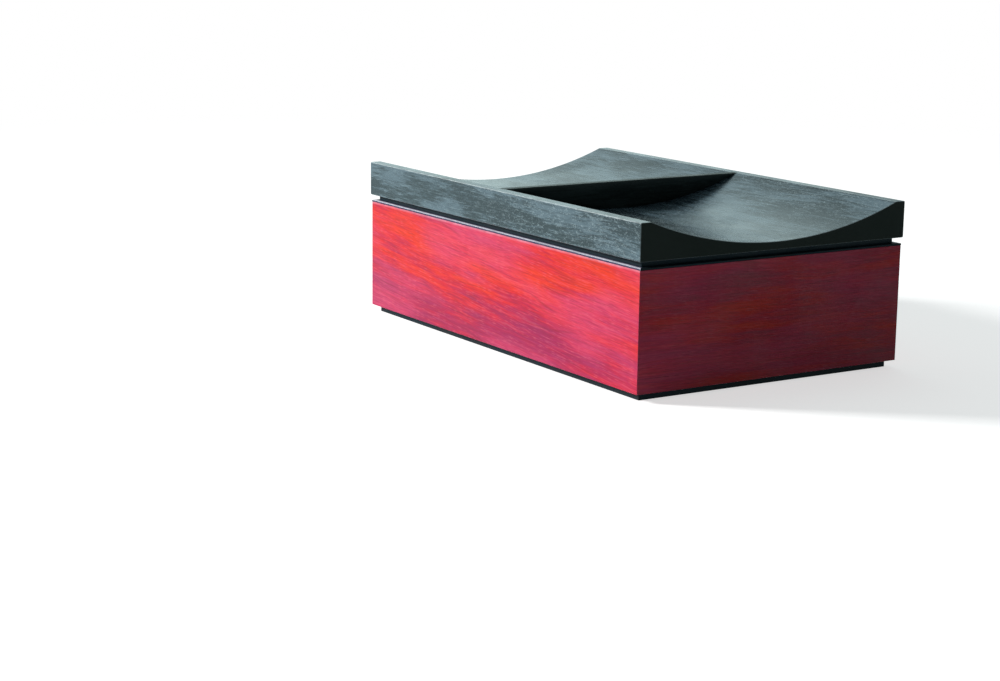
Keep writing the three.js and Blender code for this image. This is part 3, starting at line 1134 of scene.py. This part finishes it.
@dataclass(frozen=True)
class BlackWood:
    """Open-pored black wood under satin oil: slate to black, with pale curls where the cut crosses it."""

    name: str
    lay: BoardLay = BoardLay()
    black: Colour = (0.004, 0.015, 0.024)
    slate: Colour = (0.086, 0.136, 0.170)
    fleck: Colour = (0.25, 0.33, 0.36)
    # Colour of the lightened edges: partly use, partly a painted highlight.
    worn: Colour = (0.36, 0.44, 0.46)
    wear: float = 0.8
    roughness: float = 0.40
    gloss: float = 0.5
    figure: FigureSize = FigureSize(patch=(60.0, 16.0), band=(24.0, 2.4), fibre=(7.0, 0.65), wander=5.0)
    pores: PoreSize = PoreSize(6.0, 0.7, 0.4)
    tone_shift: float = -0.62
    band_tone: float = 0.6
    fibre_tone: float = 0.75
    patch_tone: float = 0.9
    slated: Range = (0.36, 0.64)
    streaks: Range = (0.53, 0.72, 0.0, 0.4)
    lines: float = 0.6
    crossed: Range = (-0.04, 0.05, 0.1, 0.58)
    dotted: Range = (0.4, 0.6, 0.8, 0.1)
    dull_curls: float = 0.12
    handled_size: float = 40.0

    def material(self, effects: Effects) -> Material:
        """Builds the finish.

        Args:
            effects: The shared node groups.

        Returns:
            The material.
        """
        shader = Shader(self.name, {"IOR": 1.5, "Specular IOR Level": self.gloss})
        graph = shader.graph
        vector = self.lay.vector(graph)
        figure = graph.place(effects.figure, {"Vector": vector, **self.figure.inputs()})
        curls = graph.place(effects.curls, {"Vector": vector})["Mask"]
        pores = graph.place(effects.pores, {"Vector": vector, **self.pores.inputs()})["Mask"]
        edges = {"Wear": graph.read("wear"), "Vector": vector, "Strength": self.wear}
        tone: object = self.tone_shift
        shares = {"Bands": self.band_tone, "Fibres": self.fibre_tone, "Patches": self.patch_tone}
        for label, share in shares.items():
            tone = graph.math("ADD", tone, graph.math("MULTIPLY", figure[label], share))
        ground = graph.mix(graph.between(tone, *self.slated), opaque(self.black), opaque(self.slate))
        crossed = graph.between(graph.coordinate(Along.X), *self.crossed)
        dots = graph.math("MULTIPLY", pores, graph.between(figure["Patches"], *self.dotted))
        shader.colour(
            graph.coats(
                ground,
                (graph.between(figure["Fibres"], *self.streaks), self.fleck),
                (graph.math("MULTIPLY", figure["Lines"], self.lines), self.black),
                (graph.math("MULTIPLY", curls, crossed), self.fleck),
                (dots, self.black),
                (graph.read("end_grain"), self.black),
                # Eased edges lighten: partly use, partly painted highlight.
                (graph.place(effects.edges, edges)["Mask"], self.worn),
            )
        )
        handling = {"Vector": vector, "Patch Size": self.handled_size}
        dulled = graph.math("MULTIPLY", curls, self.dull_curls)
        shader.oiled_roughness(graph.place(effects.handling, handling)["Uneven"], self.roughness, dulled)
        shader.open_grain(figure["Fibres"], pores, strength=0.4, distance=0.05 * MM)
        return shader.material


@dataclass(frozen=True)
class DarkBoard:
    """Thin veneered board, dark and close grained, used inside the box."""

    name: str = "dark_board"
    lay: BoardLay = BoardLay()
    dark: Colour = (0.050, 0.030, 0.022)
    light: Colour = (0.12, 0.075, 0.052)
    figure: FigureSize = FigureSize(line=(160.0, 6.0))
    bands: Range = (0.3, 0.7)
    fibres: Range = (0.3, 0.6, 0.5, 0.0)
    lines: float = 0.6
    roughness: Pair = (0.5, 0.65)

    def material(self, effects: Effects) -> Material:
        """Builds the finish.

        Args:
            effects: The shared node groups.

        Returns:
            The material.
        """
        shader = Shader(self.name, {"IOR": 1.45})
        graph = shader.graph
        vector = self.lay.vector(graph)
        figure = graph.place(effects.figure, {"Vector": vector, **self.figure.inputs()})
        shader.colour(
            graph.coats(
                opaque(self.dark),
                (graph.between(figure["Bands"], *self.bands), self.light),
                (graph.between(figure["Fibres"], *self.fibres), self.dark),
                (graph.math("MULTIPLY", figure["Lines"], self.lines), self.dark),
            )
        )
        shader.roughness(graph.place(effects.handling, {"Vector": vector})["Uneven"], self.roughness)
        shader.relief(figure["Fibres"], strength=0.3, distance=0.05 * MM)
        return shader.material


@dataclass(frozen=True)
class Suede:
    """Charcoal suede: a short nap that lies light and dark in brushed patches."""

    name: str = "charcoal_suede"
    deep: Colour = (0.016, 0.016, 0.018)
    raised: Colour = (0.060, 0.060, 0.066)
    sheen: Colour = (0.6, 0.6, 0.66)
    brushed_size: float = 16.0
    brushed_share: float = 0.7
    nap_scale: float = 2.6
    tones: Range = (0.35, 0.68)
    roughness: Pair = (0.85, 0.97)

    def material(self, effects: Effects) -> Material:
        """Builds the finish.

        Args:
            effects: The shared node groups.

        Returns:
            The material.
        """
        sheen = {"Sheen Weight": 0.35, "Sheen Roughness": 0.5, "Sheen Tint": opaque(self.sheen)}
        shader = Shader(self.name, {**sheen, "Specular IOR Level": 0.15})
        graph = shader.graph
        vector = BoardLay().vector(graph)
        handling = {"Vector": vector, "Patch Size": self.brushed_size}
        brushed = graph.place(effects.handling, handling)["Uneven"]
        nap = graph.noise(vector, self.nap_scale, detail=4.0, rough=0.7)
        nap_share = graph.math("MULTIPLY", nap, 1.0 - self.brushed_share)
        blend = graph.math("ADD", graph.math("MULTIPLY", brushed, self.brushed_share), nap_share)
        shader.colour(graph.coats(opaque(self.deep), (graph.between(blend, *self.tones), self.raised)))
        shader.roughness(brushed, self.roughness)
        shader.relief(nap, strength=0.6, distance=0.12 * MM)
        return shader.material


Finish = RedWood | BlackWood | DarkBoard | Suede


@dataclass
class Finishes:
    """The box's materials, made once and shared by the pieces that were cut from the same board."""

    effects: Effects = field(default_factory=Effects)
    made: dict[str, Material] = field(default_factory=dict)

    def get(self, finish: Finish) -> Material:
        """Returns the finish's material, making it the first time."""
        if finish.name not in self.made:
            self.made[finish.name] = finish.material(self.effects)
        return self.made[finish.name]


def frame_half(prefix: str) -> Pair:
    """Half the outer length and width of a frame of four strips, from the names of its nodes."""
    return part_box(f"{prefix}_front")[1].x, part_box(f"{prefix}_right")[1].y


@dataclass
class Assembly:
    """What every sub-assembly has: its body's name, the finishes, and ways to put a piece in place."""

    finishes: Finishes
    body: str = ""
    pads: dict[Piece, Stuffing] = field(default_factory=dict)

    def fit(self, piece: Piece, finish: Finish, slot: str, *nodes: str) -> None:
        """Dresses a piece, hides the nodes that it stands for and makes it ride on its body.

        Args:
            piece: The new piece.
            finish: Its finish.
            slot: The record's material slot. It is not used.
            nodes: The nodes that it replaces.
        """
        piece.data.materials.clear()
        piece.data.materials.append(self.finishes.get(finish))
        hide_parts(*nodes)
        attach(piece, self.body)
        LOG.info("%s rides on %s", piece.name, self.body)

    def dress(self, finish: Finish, *nodes: str) -> None:
        """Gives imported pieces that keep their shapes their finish.

        Args:
            finish: Their finish.
            nodes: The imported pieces.
        """
        for node in nodes:
            for slot in bpy.data.objects[node].material_slots:
                slot.material = self.finishes.get(finish)
            LOG.info("%s keeps its packed shape on %s", node, self.body)

    def pad(self, node: str, form: Stuffing) -> Piece:
        """Makes the suede pad that stands for a packed pad.

        Args:
            node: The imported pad.
            form: The pad's form.

        Returns:
            The pad.
        """
        pad = stuffed(f"{node}_cover", *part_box(node), form)
        self.fit(pad, Suede(), "suede", node)
        self.pads[pad] = form
        return pad


PANEL_FORM = Stuffing(
    side_power=70.0, end_power=44.0, dome=0.28, draw_in=0.5 * MM, pucker=0.15 * MM, steps=(64, 44)
)


@dataclass
class Carcase(Assembly):
    """The box itself: sides, lipping, plinth, bottom panel, runners and floor pad."""

    body: str = "body"
    arris: float = 0.4 * MM
    lipping_arris: float = 0.25 * MM
    glued_arris: float = 0.08 * MM
    groove_play: float = 0.3 * MM
    corner_wear: float = 0.15
    # A painted highlight runs along the top of the red sides' outer faces, strong on the long sides and
    # faint on the ends.
    rubbed_depth: float = 0.7 * MM
    rubbed_edge: float = 0.5
    plain_edge: float = 0.06
    # Painted highlight on the long rim strips: a bright band along the outer edge of their tops, and a
    # lighter lavender colour all over them that paints a sheen.
    rubbed_width: float = 1.9 * MM
    rubbed_fade: float = 0.2
    rubbed_face: Colour = (0.075, 0.060, 0.115)
    top_facing: float = 0.5
    front_fade: float = 0.16
    strip_origin: Point = (40.0, 60.0, 30.0)
    lays: dict[Side, BoardLay] = field(
        default_factory=lambda: {
            Side.FRONT: BoardLay(Along.X, (330.0, 220.0, -10.0), -4.0),
            Side.RIGHT: BoardLay(Along.Y, (90.0, 380.0, -30.0), -1.0),
            Side.BACK: BoardLay(Along.X, (300.0, -150.0, 5.0), -1.5),
            Side.LEFT: BoardLay(Along.Y, (500.0, -180.0, -20.0), 1.0),
        }
    )
    # The near-white colour of the rim's lightened edges paints the highlight on the long strips' tops.
    strip_wood: BlackWood = BlackWood(
        "strip",
        slate=(0.012, 0.016, 0.020),
        fleck=(0.012, 0.016, 0.020),
        worn=(0.86, 0.88, 1.0),
        gloss=0.12,
        roughness=0.55,
    )
    # Strength of the painted highlight on the long rim strips' tops.
    rim_wear: float = 1.6
    plinth_wear: float = 0.02
    runner_wood: BlackWood = BlackWood("black_wood_runner", BoardLay(Along.X, (10.0, 60.0, 30.0)))
    tongue_wood: BlackWood = BlackWood("black_wood_tongue", BoardLay(Along.Z, (0.0, 20.0, 70.0)))

    def build(self) -> None:
        """Builds and dresses every piece of the box."""
        self.sides()
        self.strips("rim", self.lipping_arris, True, replace(self.strip_wood, wear=self.rim_wear))
        self.strips("plinth", self.arris, False, replace(self.strip_wood, wear=self.plinth_wear))
        self.inside()

    def sides(self) -> None:
        """Makes the four red sides, grooved for the bottom panel."""
        low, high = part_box("front_side")
        panel_low, panel_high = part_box("bottom_panel")
        half = (high.x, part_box("right_end")[1].y)
        wall = high.y - low.y
        groove_floor = half[1] - panel_high.y - self.groove_play
        groove = (panel_low.z - self.groove_play, panel_high.z + self.groove_play)
        corners = rectangle((0.0, low.z), (wall, high.z), self.arris)
        corners[0] = replace(corners[0], radius=self.glued_arris)
        corners[2:2] = [
            Corner(wall, groove[0], self.arris),
            Corner(groove_floor, groove[0], self.arris / 2),
            Corner(groove_floor, groove[1], self.arris / 2),
            Corner(wall, groove[1], self.arris),
        ]
        # Two more points bound the band of painted highlight below the sides' top edge.
        corners += [Corner(0.0, high.z - self.rubbed_depth), Corner(0.0, high.z - 2 * self.rubbed_depth)]
        highlight_band_from = high.z - 1.5 * self.rubbed_depth
        for side in Side:
            long_side = side.grain is Along.X
            node = f"{side.label}_{'side' if long_side else 'end'}"
            # The band's painted highlight is bright on the long sides and faint on the ends.
            wear = self.rubbed_edge if long_side else self.plain_edge
            section = [
                replace(edge, wear=wear) if edge.at.x < self.arris and edge.at.y > highlight_band_from else edge
                for edge in eased_section(corners)
            ]
            piece = mitred_strip(f"{node}_board", side, half, section, self.arris, self.corner_wear)
            fade = self.front_fade if side is Side.FRONT else 0.0
            finish = RedWood(f"red_wood_{side.label}", self.lays[side], fade, (low.z, high.z))
            # The end boards get a darker, greyer and glossier copy of the red wood, which paints the look of
            # a face in shade.
            if not long_side:
                finish = replace(finish, purple=(0.36, 0.022, 0.060), dark=(0.22, 0.016, 0.024), gloss=0.26)
            self.fit(piece, finish, "red_wood", node)

    def strips(self, prefix: str, ease: float, painted_top_highlight: bool, wood: BlackWood) -> None:
        """Makes a frame of thin black strips.

        Args:
            prefix: What its nodes' names start with.
            ease: Radius of its upper edges.
            painted_top_highlight: Whether the long strips' tops take a painted highlight, a bright band
                along their outer edge.
            wood: Its finish, which takes its name and lay here.
        """
        low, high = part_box(f"{prefix}_front")
        corners = rectangle((0.0, low.z), (high.y - low.y, high.z), ease)
        corners[0:2] = [replace(corner, radius=self.glued_arris) for corner in corners[0:2]]
        if painted_top_highlight:
            fades = (1.0 + self.rubbed_fade, 1.0)
            corners[3:3] = [Corner(self.rubbed_width * share, high.z) for share in fades]
        plain = eased_section(corners)
        highlight_to = self.rubbed_width * (1.0 + self.rubbed_fade / 2)
        for side in Side:
            node = f"{prefix}_{side.label}"
            lay = BoardLay(side.grain, self.strip_origin)
            finish = replace(wood, name=f"black_wood_{prefix}_{side.grain.name}", lay=lay)
            section = plain
            # Only the long strips' tops take the painted highlight; the end strips take none.
            if painted_top_highlight:
                long_side = side.grain is Along.X
                reach = highlight_to if long_side else -math.inf
                section = [
                    replace(edge, wear=float(edge.facing.y > self.top_facing and edge.at.x < reach))
                    for edge in plain
                ]
                # The long strips are also tinted a lighter lavender all over: painted sheen.
                if long_side:
                    face = self.rubbed_face
                    finish = replace(finish, black=face, slate=face, fleck=face)
            piece = mitred_strip(f"{node}_strip", side, frame_half(prefix), section, ease)
            self.fit(piece, finish, "black_wood", node)

    def inside(self) -> None:
        """Makes the bottom panel, the runners and the floor pad, and dresses the hidden tongues."""
        panel = filling_bar("bottom_panel", "board", Along.Z, 2 * self.arris, self.arris)
        self.fit(panel, DarkBoard(), "panel_board", "bottom_panel")
        for node in ("runner_front", "runner_back"):
            runner = filling_bar(node, "bar", Along.X, 2 * self.arris, self.arris)
            self.fit(runner, self.runner_wood, "black_wood", node)
        corners = ("front_right", "back_right", "back_left", "front_left")
        self.dress(self.tongue_wood, *(f"tongue_{corner}" for corner in corners))
        self.pad("floor_pad", PANEL_FORM)


@dataclass(frozen=True)
class Cove:
    """The lid's hollow: an arc across the board, from rail to rail."""

    half_chord: float
    radius: float
    centre: float

    @classmethod
    def measured(cls, arris: float) -> "Cove":
        """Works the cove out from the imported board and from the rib, which spans it.

        Args:
            arris: How far inside the rib's ends the arc starts.

        Returns:
            The cove.
        """
        half_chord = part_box("grip_rib")[1].y - arris
        board = bpy.data.objects["lid_board"].data.vertices
        floor = max(v.co.z for v in board if abs(v.co.y) < MM and v.co.x > half_chord)
        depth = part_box("lid_board")[1].z - floor
        radius = half_chord**2 / (2 * depth) + depth / 2
        return cls(half_chord, radius, floor + radius)

    def height(self, y: float, deeper: float = 0.0) -> float:
        """Height of the arc, or of one let in deeper, at a distance from the middle of the lid."""
        return self.centre - math.sqrt((self.radius + deeper) ** 2 - y**2)


@dataclass
class Lid(Assembly):
    """The lift-off lid: coved board, grip rib, gap board, lips and pad."""

    body: str = "lid"
    arris: float = 0.6 * MM
    end_arris: float = 0.48 * MM
    lower_arris: float = 0.8 * MM
    cove_arris: float = 1.0 * MM
    cove_ease: float = 1.5 * MM
    cove_steps: int = 96
    rib_ease: float = 0.5 * MM
    housing_depth: float = 1.2 * MM
    housing_play: float = 0.2 * MM
    housing_wall: float = 0.02 * MM
    seat_gap: float = 0.2 * MM
    gap_arris: float = 0.2 * MM
    lip_arris: float = 0.3 * MM
    lead: float = 1.0 * MM
    end_facing: float = 0.9
    end_wear: float = 0.6
    # The lid board's edges lighten to a pale grey: a painted highlight along its arrises, over a little use.
    board_wood: BlackWood = BlackWood(
        "black_wood_lid",
        BoardLay(Along.X, (660.0, 220.0, 40.0)),
        worn=(0.58, 0.68, 0.70),
        wear=1.0,
        roughness=0.2,
        gloss=0.5,
    )
    end_wood: BlackWood = BlackWood(
        "black_wood_lid_ends",
        BoardLay(Along.X, (660.0, 220.0, 40.0)),
        black=(0.022, 0.029, 0.025),
        roughness=0.5,
        gloss=0.08,
        wear=0.0,
    )
    rib_wood: BlackWood = BlackWood(
        "black_wood_rib",
        BoardLay(Along.Y, (15.0, 50.0, 10.0)),
        black=(0.014, 0.022, 0.020),
        slate=(0.044, 0.062, 0.058),
        fleck=(0.044, 0.062, 0.058),
        wear=0.1,
        gloss=0.25,
    )
    # The gap board is darker than the lid's black wood, which paints deeper shade into the gap.
    gap_wood: BlackWood = BlackWood(
        "black_wood_gap",
        BoardLay(Along.X, (60.0, 80.0, 10.0)),
        slate=(0.012, 0.020, 0.028),
        fleck=(0.012, 0.020, 0.028),
        wear=0.0,
        gloss=0.1,
    )
    lip_origin: Point = (120.0, 60.0, 30.0)

    def build(self) -> None:
        """Builds and dresses every piece of the lid."""
        cove = Cove.measured(self.cove_arris)
        self.board(cove)
        self.rib(cove)
        self.under()

    def board(self, cove: Cove) -> None:
        """Makes the board, with its cove run from end to end and the rib's housing let in across it.

        Args:
            cove: The cove.
        """
        low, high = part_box("lid_board")
        rib_low, rib_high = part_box("grip_rib")
        corners = rectangle((low.y, low.z), (high.y, high.z), self.arris)
        corners[0:2] = [replace(corner, radius=self.lower_arris) for corner in corners[0:2]]
        arc = [cove.half_chord * (1 - 2 * step / self.cove_steps) for step in range(1, self.cove_steps)]
        corners[3:3] = [
            Corner(rib_high.y, high.z),
            Corner(cove.half_chord, high.z, self.cove_ease),
            *(Corner(y, cove.height(y)) for y in arc),
            Corner(-cove.half_chord, high.z, self.cove_ease),
            Corner(-rib_high.y, high.z),
        ]
        bottom = low.z + self.arris
        section = [
            edge if edge.at.y > bottom else replace(edge, wear=0.0)
            for edge in eased_section(corners)
        ]
        housed = []
        for edge in section:
            inside = rib_high.y - abs(edge.at.x)
            share = min(1.0, inside / self.cove_arris) if inside > 0 and edge.at.y > bottom else 0.0
            housed.append(replace(edge, at=edge.at - edge.facing * self.housing_depth * share))
        start, end = rib_low.x - self.housing_play, rib_high.x + self.housing_play
        slices = [
            Slice(start, section),
            Slice(start + self.housing_wall, housed),
            Slice(end - self.housing_wall, housed),
            Slice(end, section),
        ]
        span = (low.x, high.x)
        piece = eased_bar("lid_coved_board", section, Along.X, span, self.end_arris, slices, self.end_wear)
        self.fit(piece, self.board_wood, "black_wood", "lid_board")
        piece.data.materials.append(self.finishes.get(self.end_wood))
        for face in piece.data.polygons:
            if abs(face.normal.x) > self.end_facing:
                face.material_index = 1

    def rib(self, cove: Cove) -> None:
        """Makes the rib, whose foot follows the housing across the cove.

        Args:
            cove: The cove.
        """
        low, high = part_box("grip_rib")
        rings = []
        for step in range(self.cove_steps + 1):
            y = high.y * (2 * step / self.cove_steps - 1)
            foot = cove.height(y, self.housing_depth - self.seat_gap)
            corners = [
                Corner(foot, low.x),
                Corner(high.z, low.x, self.rib_ease),
                Corner(high.z, high.x, self.rib_ease),
                Corner(foot, high.x),
            ]
            ring = []
            for edge in eased_section(corners):
                at, facing = (Along.Y.place(v.x, v.y, s) for v, s in ((edge.at, y), (edge.facing, 0)))
                ring.append(Edge(at, facing, edge.wear))
            rings.append(ring)
        self.fit(skin("grip_rib_blade", rings, Along.Y), self.rib_wood, "black_wood", "grip_rib")

    def under(self) -> None:
        """Makes the gap board, the lips and the pad between them."""
        gap = filling_bar("gap_board", "panel", Along.Z, self.arris, self.gap_arris)
        self.fit(gap, self.gap_wood, "black_wood", "gap_board")
        low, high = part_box("lip_front")
        corners = rectangle((0.0, low.z), (high.y - low.y, high.z), self.lip_arris)
        corners[0:1] = [
            Corner(0.0, low.z + self.lead, self.lip_arris),
            Corner(self.lead, low.z, self.lip_arris),
        ]
        section = eased_section(corners)
        for side in Side:
            node = f"lip_{side.label}"
            lip = mitred_strip(f"{node}_strip", side, frame_half("lip"), section, self.arris)
            finish = BlackWood(f"black_wood_lip_{side.grain.name}", BoardLay(side.grain, self.lip_origin))
            self.fit(lip, finish, "black_wood", node)
        self.turn_over(self.pad("lid_pad", PANEL_FORM))

    @staticmethod
    def turn_over(pad: Piece) -> None:
        """Turns a pad's dome downwards, in the space that it already fills.

        Args:
            pad: The pad.
        """
        heights = [v.co.z for v in pad.data.vertices]
        middle = (min(heights) + max(heights)) / 2
        pad.data.transform(Matrix.Translation((0, 0, 2 * middle)) @ Matrix.Diagonal((1, 1, -1, 1)))
        pad.data.flip_normals()


@dataclass
class Tray(Assembly):
    """The lift-out tray: walls with finger notches, base, dividers, cell pads and ring rolls."""

    body: str = "tray"
    arris: float = 0.4 * MM
    rebate_play: float = 0.3 * MM
    wall_origin: Point = (700.0, 60.0, 20.0)
    cross_wood: RedWood = RedWood("red_wood_divider_Y", BoardLay(Along.Y, (820.0, 30.0, 10.0)))
    long_wood: RedWood = RedWood("red_wood_divider_X", BoardLay(Along.X, (900.0, 30.0, 10.0)))
    cell_form: Stuffing = Stuffing(
        side_power=22.0, end_power=28.0, dome=0.34, draw_in=0.25 * MM, pucker=0.12 * MM
    )
    roll_form: Stuffing = Stuffing(side_power=2.3, end_power=26.0, pucker=0.5 * MM, steps=(32, 84), fill=0.8)

    def build(self) -> None:
        """Builds and dresses every piece of the tray."""
        self.walls()
        self.dress(DarkBoard(), "tray_base")
        self.dress(self.cross_wood, "ring_partition", "cross_divider_1", "cross_divider_2")
        self.dress(self.long_wood, "long_divider_1")
        for prefix, form in (("cell_pad_", self.cell_form), ("ring_roll_", self.roll_form)):
            for node in sorted(name for name in bpy.data.objects.keys() if name.startswith(prefix)):
                self.pad(node, form)

    def walls(self) -> None:
        """Makes the four mitred walls, rebated for the base, with a notch in each end."""
        low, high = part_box("tray_front")
        base_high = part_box("tray_base")[1]
        half = frame_half("tray")
        wall = high.y - low.y
        rebate = half[1] - base_high.y - self.rebate_play
        corners = rectangle((0.0, low.z), (wall, high.z), self.arris)
        corners[1:2] = [
            Corner(rebate, low.z, self.arris / 2),
            Corner(rebate, base_high.z, self.arris / 2),
            Corner(wall, base_high.z, self.arris / 2),
        ]
        section = eased_section(corners)
        for side in Side:
            node = f"tray_{side.label}"
            notch = Notch((low.z + high.z) / 2) if side.grain is Along.Y else None
            piece = mitred_strip(f"{node}_wall", side, half, section, self.arris, notch=notch)
            finish = RedWood(f"red_wood_tray_{side.grain.name}", BoardLay(side.grain, self.wall_origin))
            self.fit(piece, finish, "red_wood", node)


@dataclass(frozen=True)
class Lamp:
    """An area lamp: where it stands, what it points at, its size and its power."""

    name: str
    at: Point
    size: Pair
    power: float
    colour: Colour
    aim: Point = (0.0, 0.0, 0.06)

    def stand(self) -> None:
        """Puts the lamp in the scene."""
        data = bpy.data.lights.new(self.name, "AREA")
        data.shape = "RECTANGLE"
        data.size, data.size_y = self.size
        data.energy = self.power
        data.color = self.colour
        lamp = bpy.data.objects.new(self.name, data)
        lamp.location = self.at
        lamp.rotation_euler = (Vector(self.aim) - Vector(self.at)).to_track_quat("-Z", "Y").to_euler()
        bpy.context.scene.collection.objects.link(lamp)


@dataclass
class Studio:
    """The camera at the photograph's angle, the lamp, the floor and the surround."""

    camera_at: Point = (0.9654954, -0.6874872, 0.2441950)
    heading_deg: float = 57.879
    pitch_deg: float = 11.799
    roll_deg: float = 0.724
    focal_pixels: float = 2070.96
    frame_pixels: float = 1000.0
    sensor_mm: float = 36.0
    nearest: float = 0.01
    key: Lamp = Lamp("key", (-3.44, -3.90, 2.16), (1.0, 1.0), 424.0, (1.0, 0.995, 0.985))
    glow_from: Point = (-0.88, 0.36, 0.42)
    glow_edge: Pair = (0.25, 0.95)
    glow: Colour = (0.52, 0.64, 0.63)
    ambient: Colour = (0.060, 0.065, 0.070)
    reflected: Colour = (0.78, 1.0, 1.0)
    card_from: Point = (-0.942, 0.306, 0.139)
    card_edge: Pair = (0.895, 0.946)
    off_card: float = 0.40
    floor_reach: float = 30.0
    floor_fade: Pair = (0.35, 1.3)
    floor_colour: Colour = (0.30, 0.30, 0.31)
    paper_colour: Colour = (0.75, 0.75, 0.75)
    paper_glow: Colour = (0.62, 0.62, 0.62)

    def build(self) -> None:
        """Builds the camera, the lamp, the surround and the floor."""
        scene = bpy.context.scene
        scene.view_settings.view_transform = "Standard"
        scene.camera = self.camera()
        self.key.stand()
        self.surround(scene)
        self.floor()

    def camera(self) -> Piece:
        """Stands the camera where the photograph was taken from.

        Returns:
            The camera.
        """
        heading, pitch, roll = (math.radians(v) for v in (self.heading_deg, self.pitch_deg, self.roll_deg))
        level = Vector((-math.sin(heading), math.cos(heading), 0))
        right = Vector((math.cos(heading), math.sin(heading), 0))
        ahead = level * math.cos(pitch) - Vector((0, 0, math.sin(pitch)))
        up = right.cross(ahead)
        turned_right = right * math.cos(roll) + up * math.sin(roll)
        turned_up = up * math.cos(roll) - right * math.sin(roll)
        data = bpy.data.cameras.new("camera")
        data.sensor_width = self.sensor_mm
        data.lens = self.focal_pixels / self.frame_pixels * self.sensor_mm
        data.clip_start = self.nearest
        camera = bpy.data.objects.new("camera", data)
        rows = Matrix((turned_right, turned_up, -ahead)).transposed()
        camera.matrix_world = Matrix.Translation(self.camera_at) @ rows.to_4x4()
        bpy.context.scene.collection.objects.link(camera)
        return camera

    def surround(self, scene: bpy.types.Scene) -> None:
        """Makes the surround white where it is seen, and a soft glow where it lights the box.

        Args:
            scene: The scene that gets the world.
        """
        world = bpy.data.worlds.new("surround")
        scene.world = world
        world.use_nodes = True
        graph = Graph(world.node_tree)
        ray = graph.add("ShaderNodeLightPath").outputs
        seen = graph.math("MAXIMUM", ray["Is Camera Ray"], ray["Is Transmission Ray"])
        away = graph.add("ShaderNodeTexCoord").outputs["Generated"]
        glowing = graph.vector_math("DOT_PRODUCT", away, tuple(Vector(self.glow_from).normalized()))
        lit = graph.mix(graph.between(glowing, *self.glow_edge), opaque(self.ambient), opaque(self.glow))
        card = graph.vector_math("DOT_PRODUCT", away, self.card_from)
        bright = graph.between(card, *self.card_edge, self.off_card, 1.0)
        sheen = graph.mix(1.0, opaque(self.reflected), bright, "MULTIPLY")
        mirrored = graph.mix(ray["Is Glossy Ray"], lit, sheen)
        shader = world.node_tree.nodes["Background"]
        graph.feed(shader.inputs["Color"], graph.mix(seen, mirrored, opaque(WHITE)))

    def floor(self) -> None:
        """Lays a pale floor that keeps the box's shadow and turns white further out."""
        sheet = bmesh.new()
        bmesh.ops.create_grid(sheet, x_segments=1, y_segments=1, size=self.floor_reach)
        mesh = bpy.data.meshes.new("floor")
        sheet.to_mesh(mesh)
        sheet.free()
        floor = link("floor", mesh)
        constants = {"Roughness": 0.9, "Specular IOR Level": 0.0, "Emission Strength": 1.0}
        shader = Shader("floor_paper", constants)
        graph = shader.graph
        ray = graph.add("ShaderNodeLightPath").outputs
        seen = graph.math("MAXIMUM", ray["Is Camera Ray"], ray["Is Transmission Ray"])
        seen = graph.math("MAXIMUM", seen, ray["Is Glossy Ray"])
        far = graph.between(graph.vector_math("LENGTH", graph.here()), *self.floor_fade)
        paper = graph.mix(far, opaque(self.paper_colour), opaque(BLACK))
        glow = graph.mix(far, opaque(self.paper_glow), opaque(WHITE))
        tint = graph.mix(ray["Is Glossy Ray"], opaque(WHITE), opaque(self.reflected))
        paper, glow = (graph.mix(1.0, colour, tint, "MULTIPLY") for colour in (paper, glow))
        shader.colour(graph.mix(seen, opaque(self.floor_colour), paper))
        graph.feed(shader.inputs["Emission Color"], graph.mix(seen, opaque(BLACK), glow))
        mesh.materials.append(shader.material)


def main() -> None:
    """Builds the studio and every sub-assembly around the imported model."""
    logging.basicConfig(level=logging.INFO, format="%(name)s: %(message)s")
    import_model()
    Studio().build()
    finishes = Finishes()
    assemblies = (Carcase(finishes), Lid(finishes), Tray(finishes))
    for assembly in assemblies:
        assembly.build()
    CoverCloth().settle({pad: form for assembly in assemblies for pad, form in assembly.pads.items()})


if __name__ == "__main__":
    main()
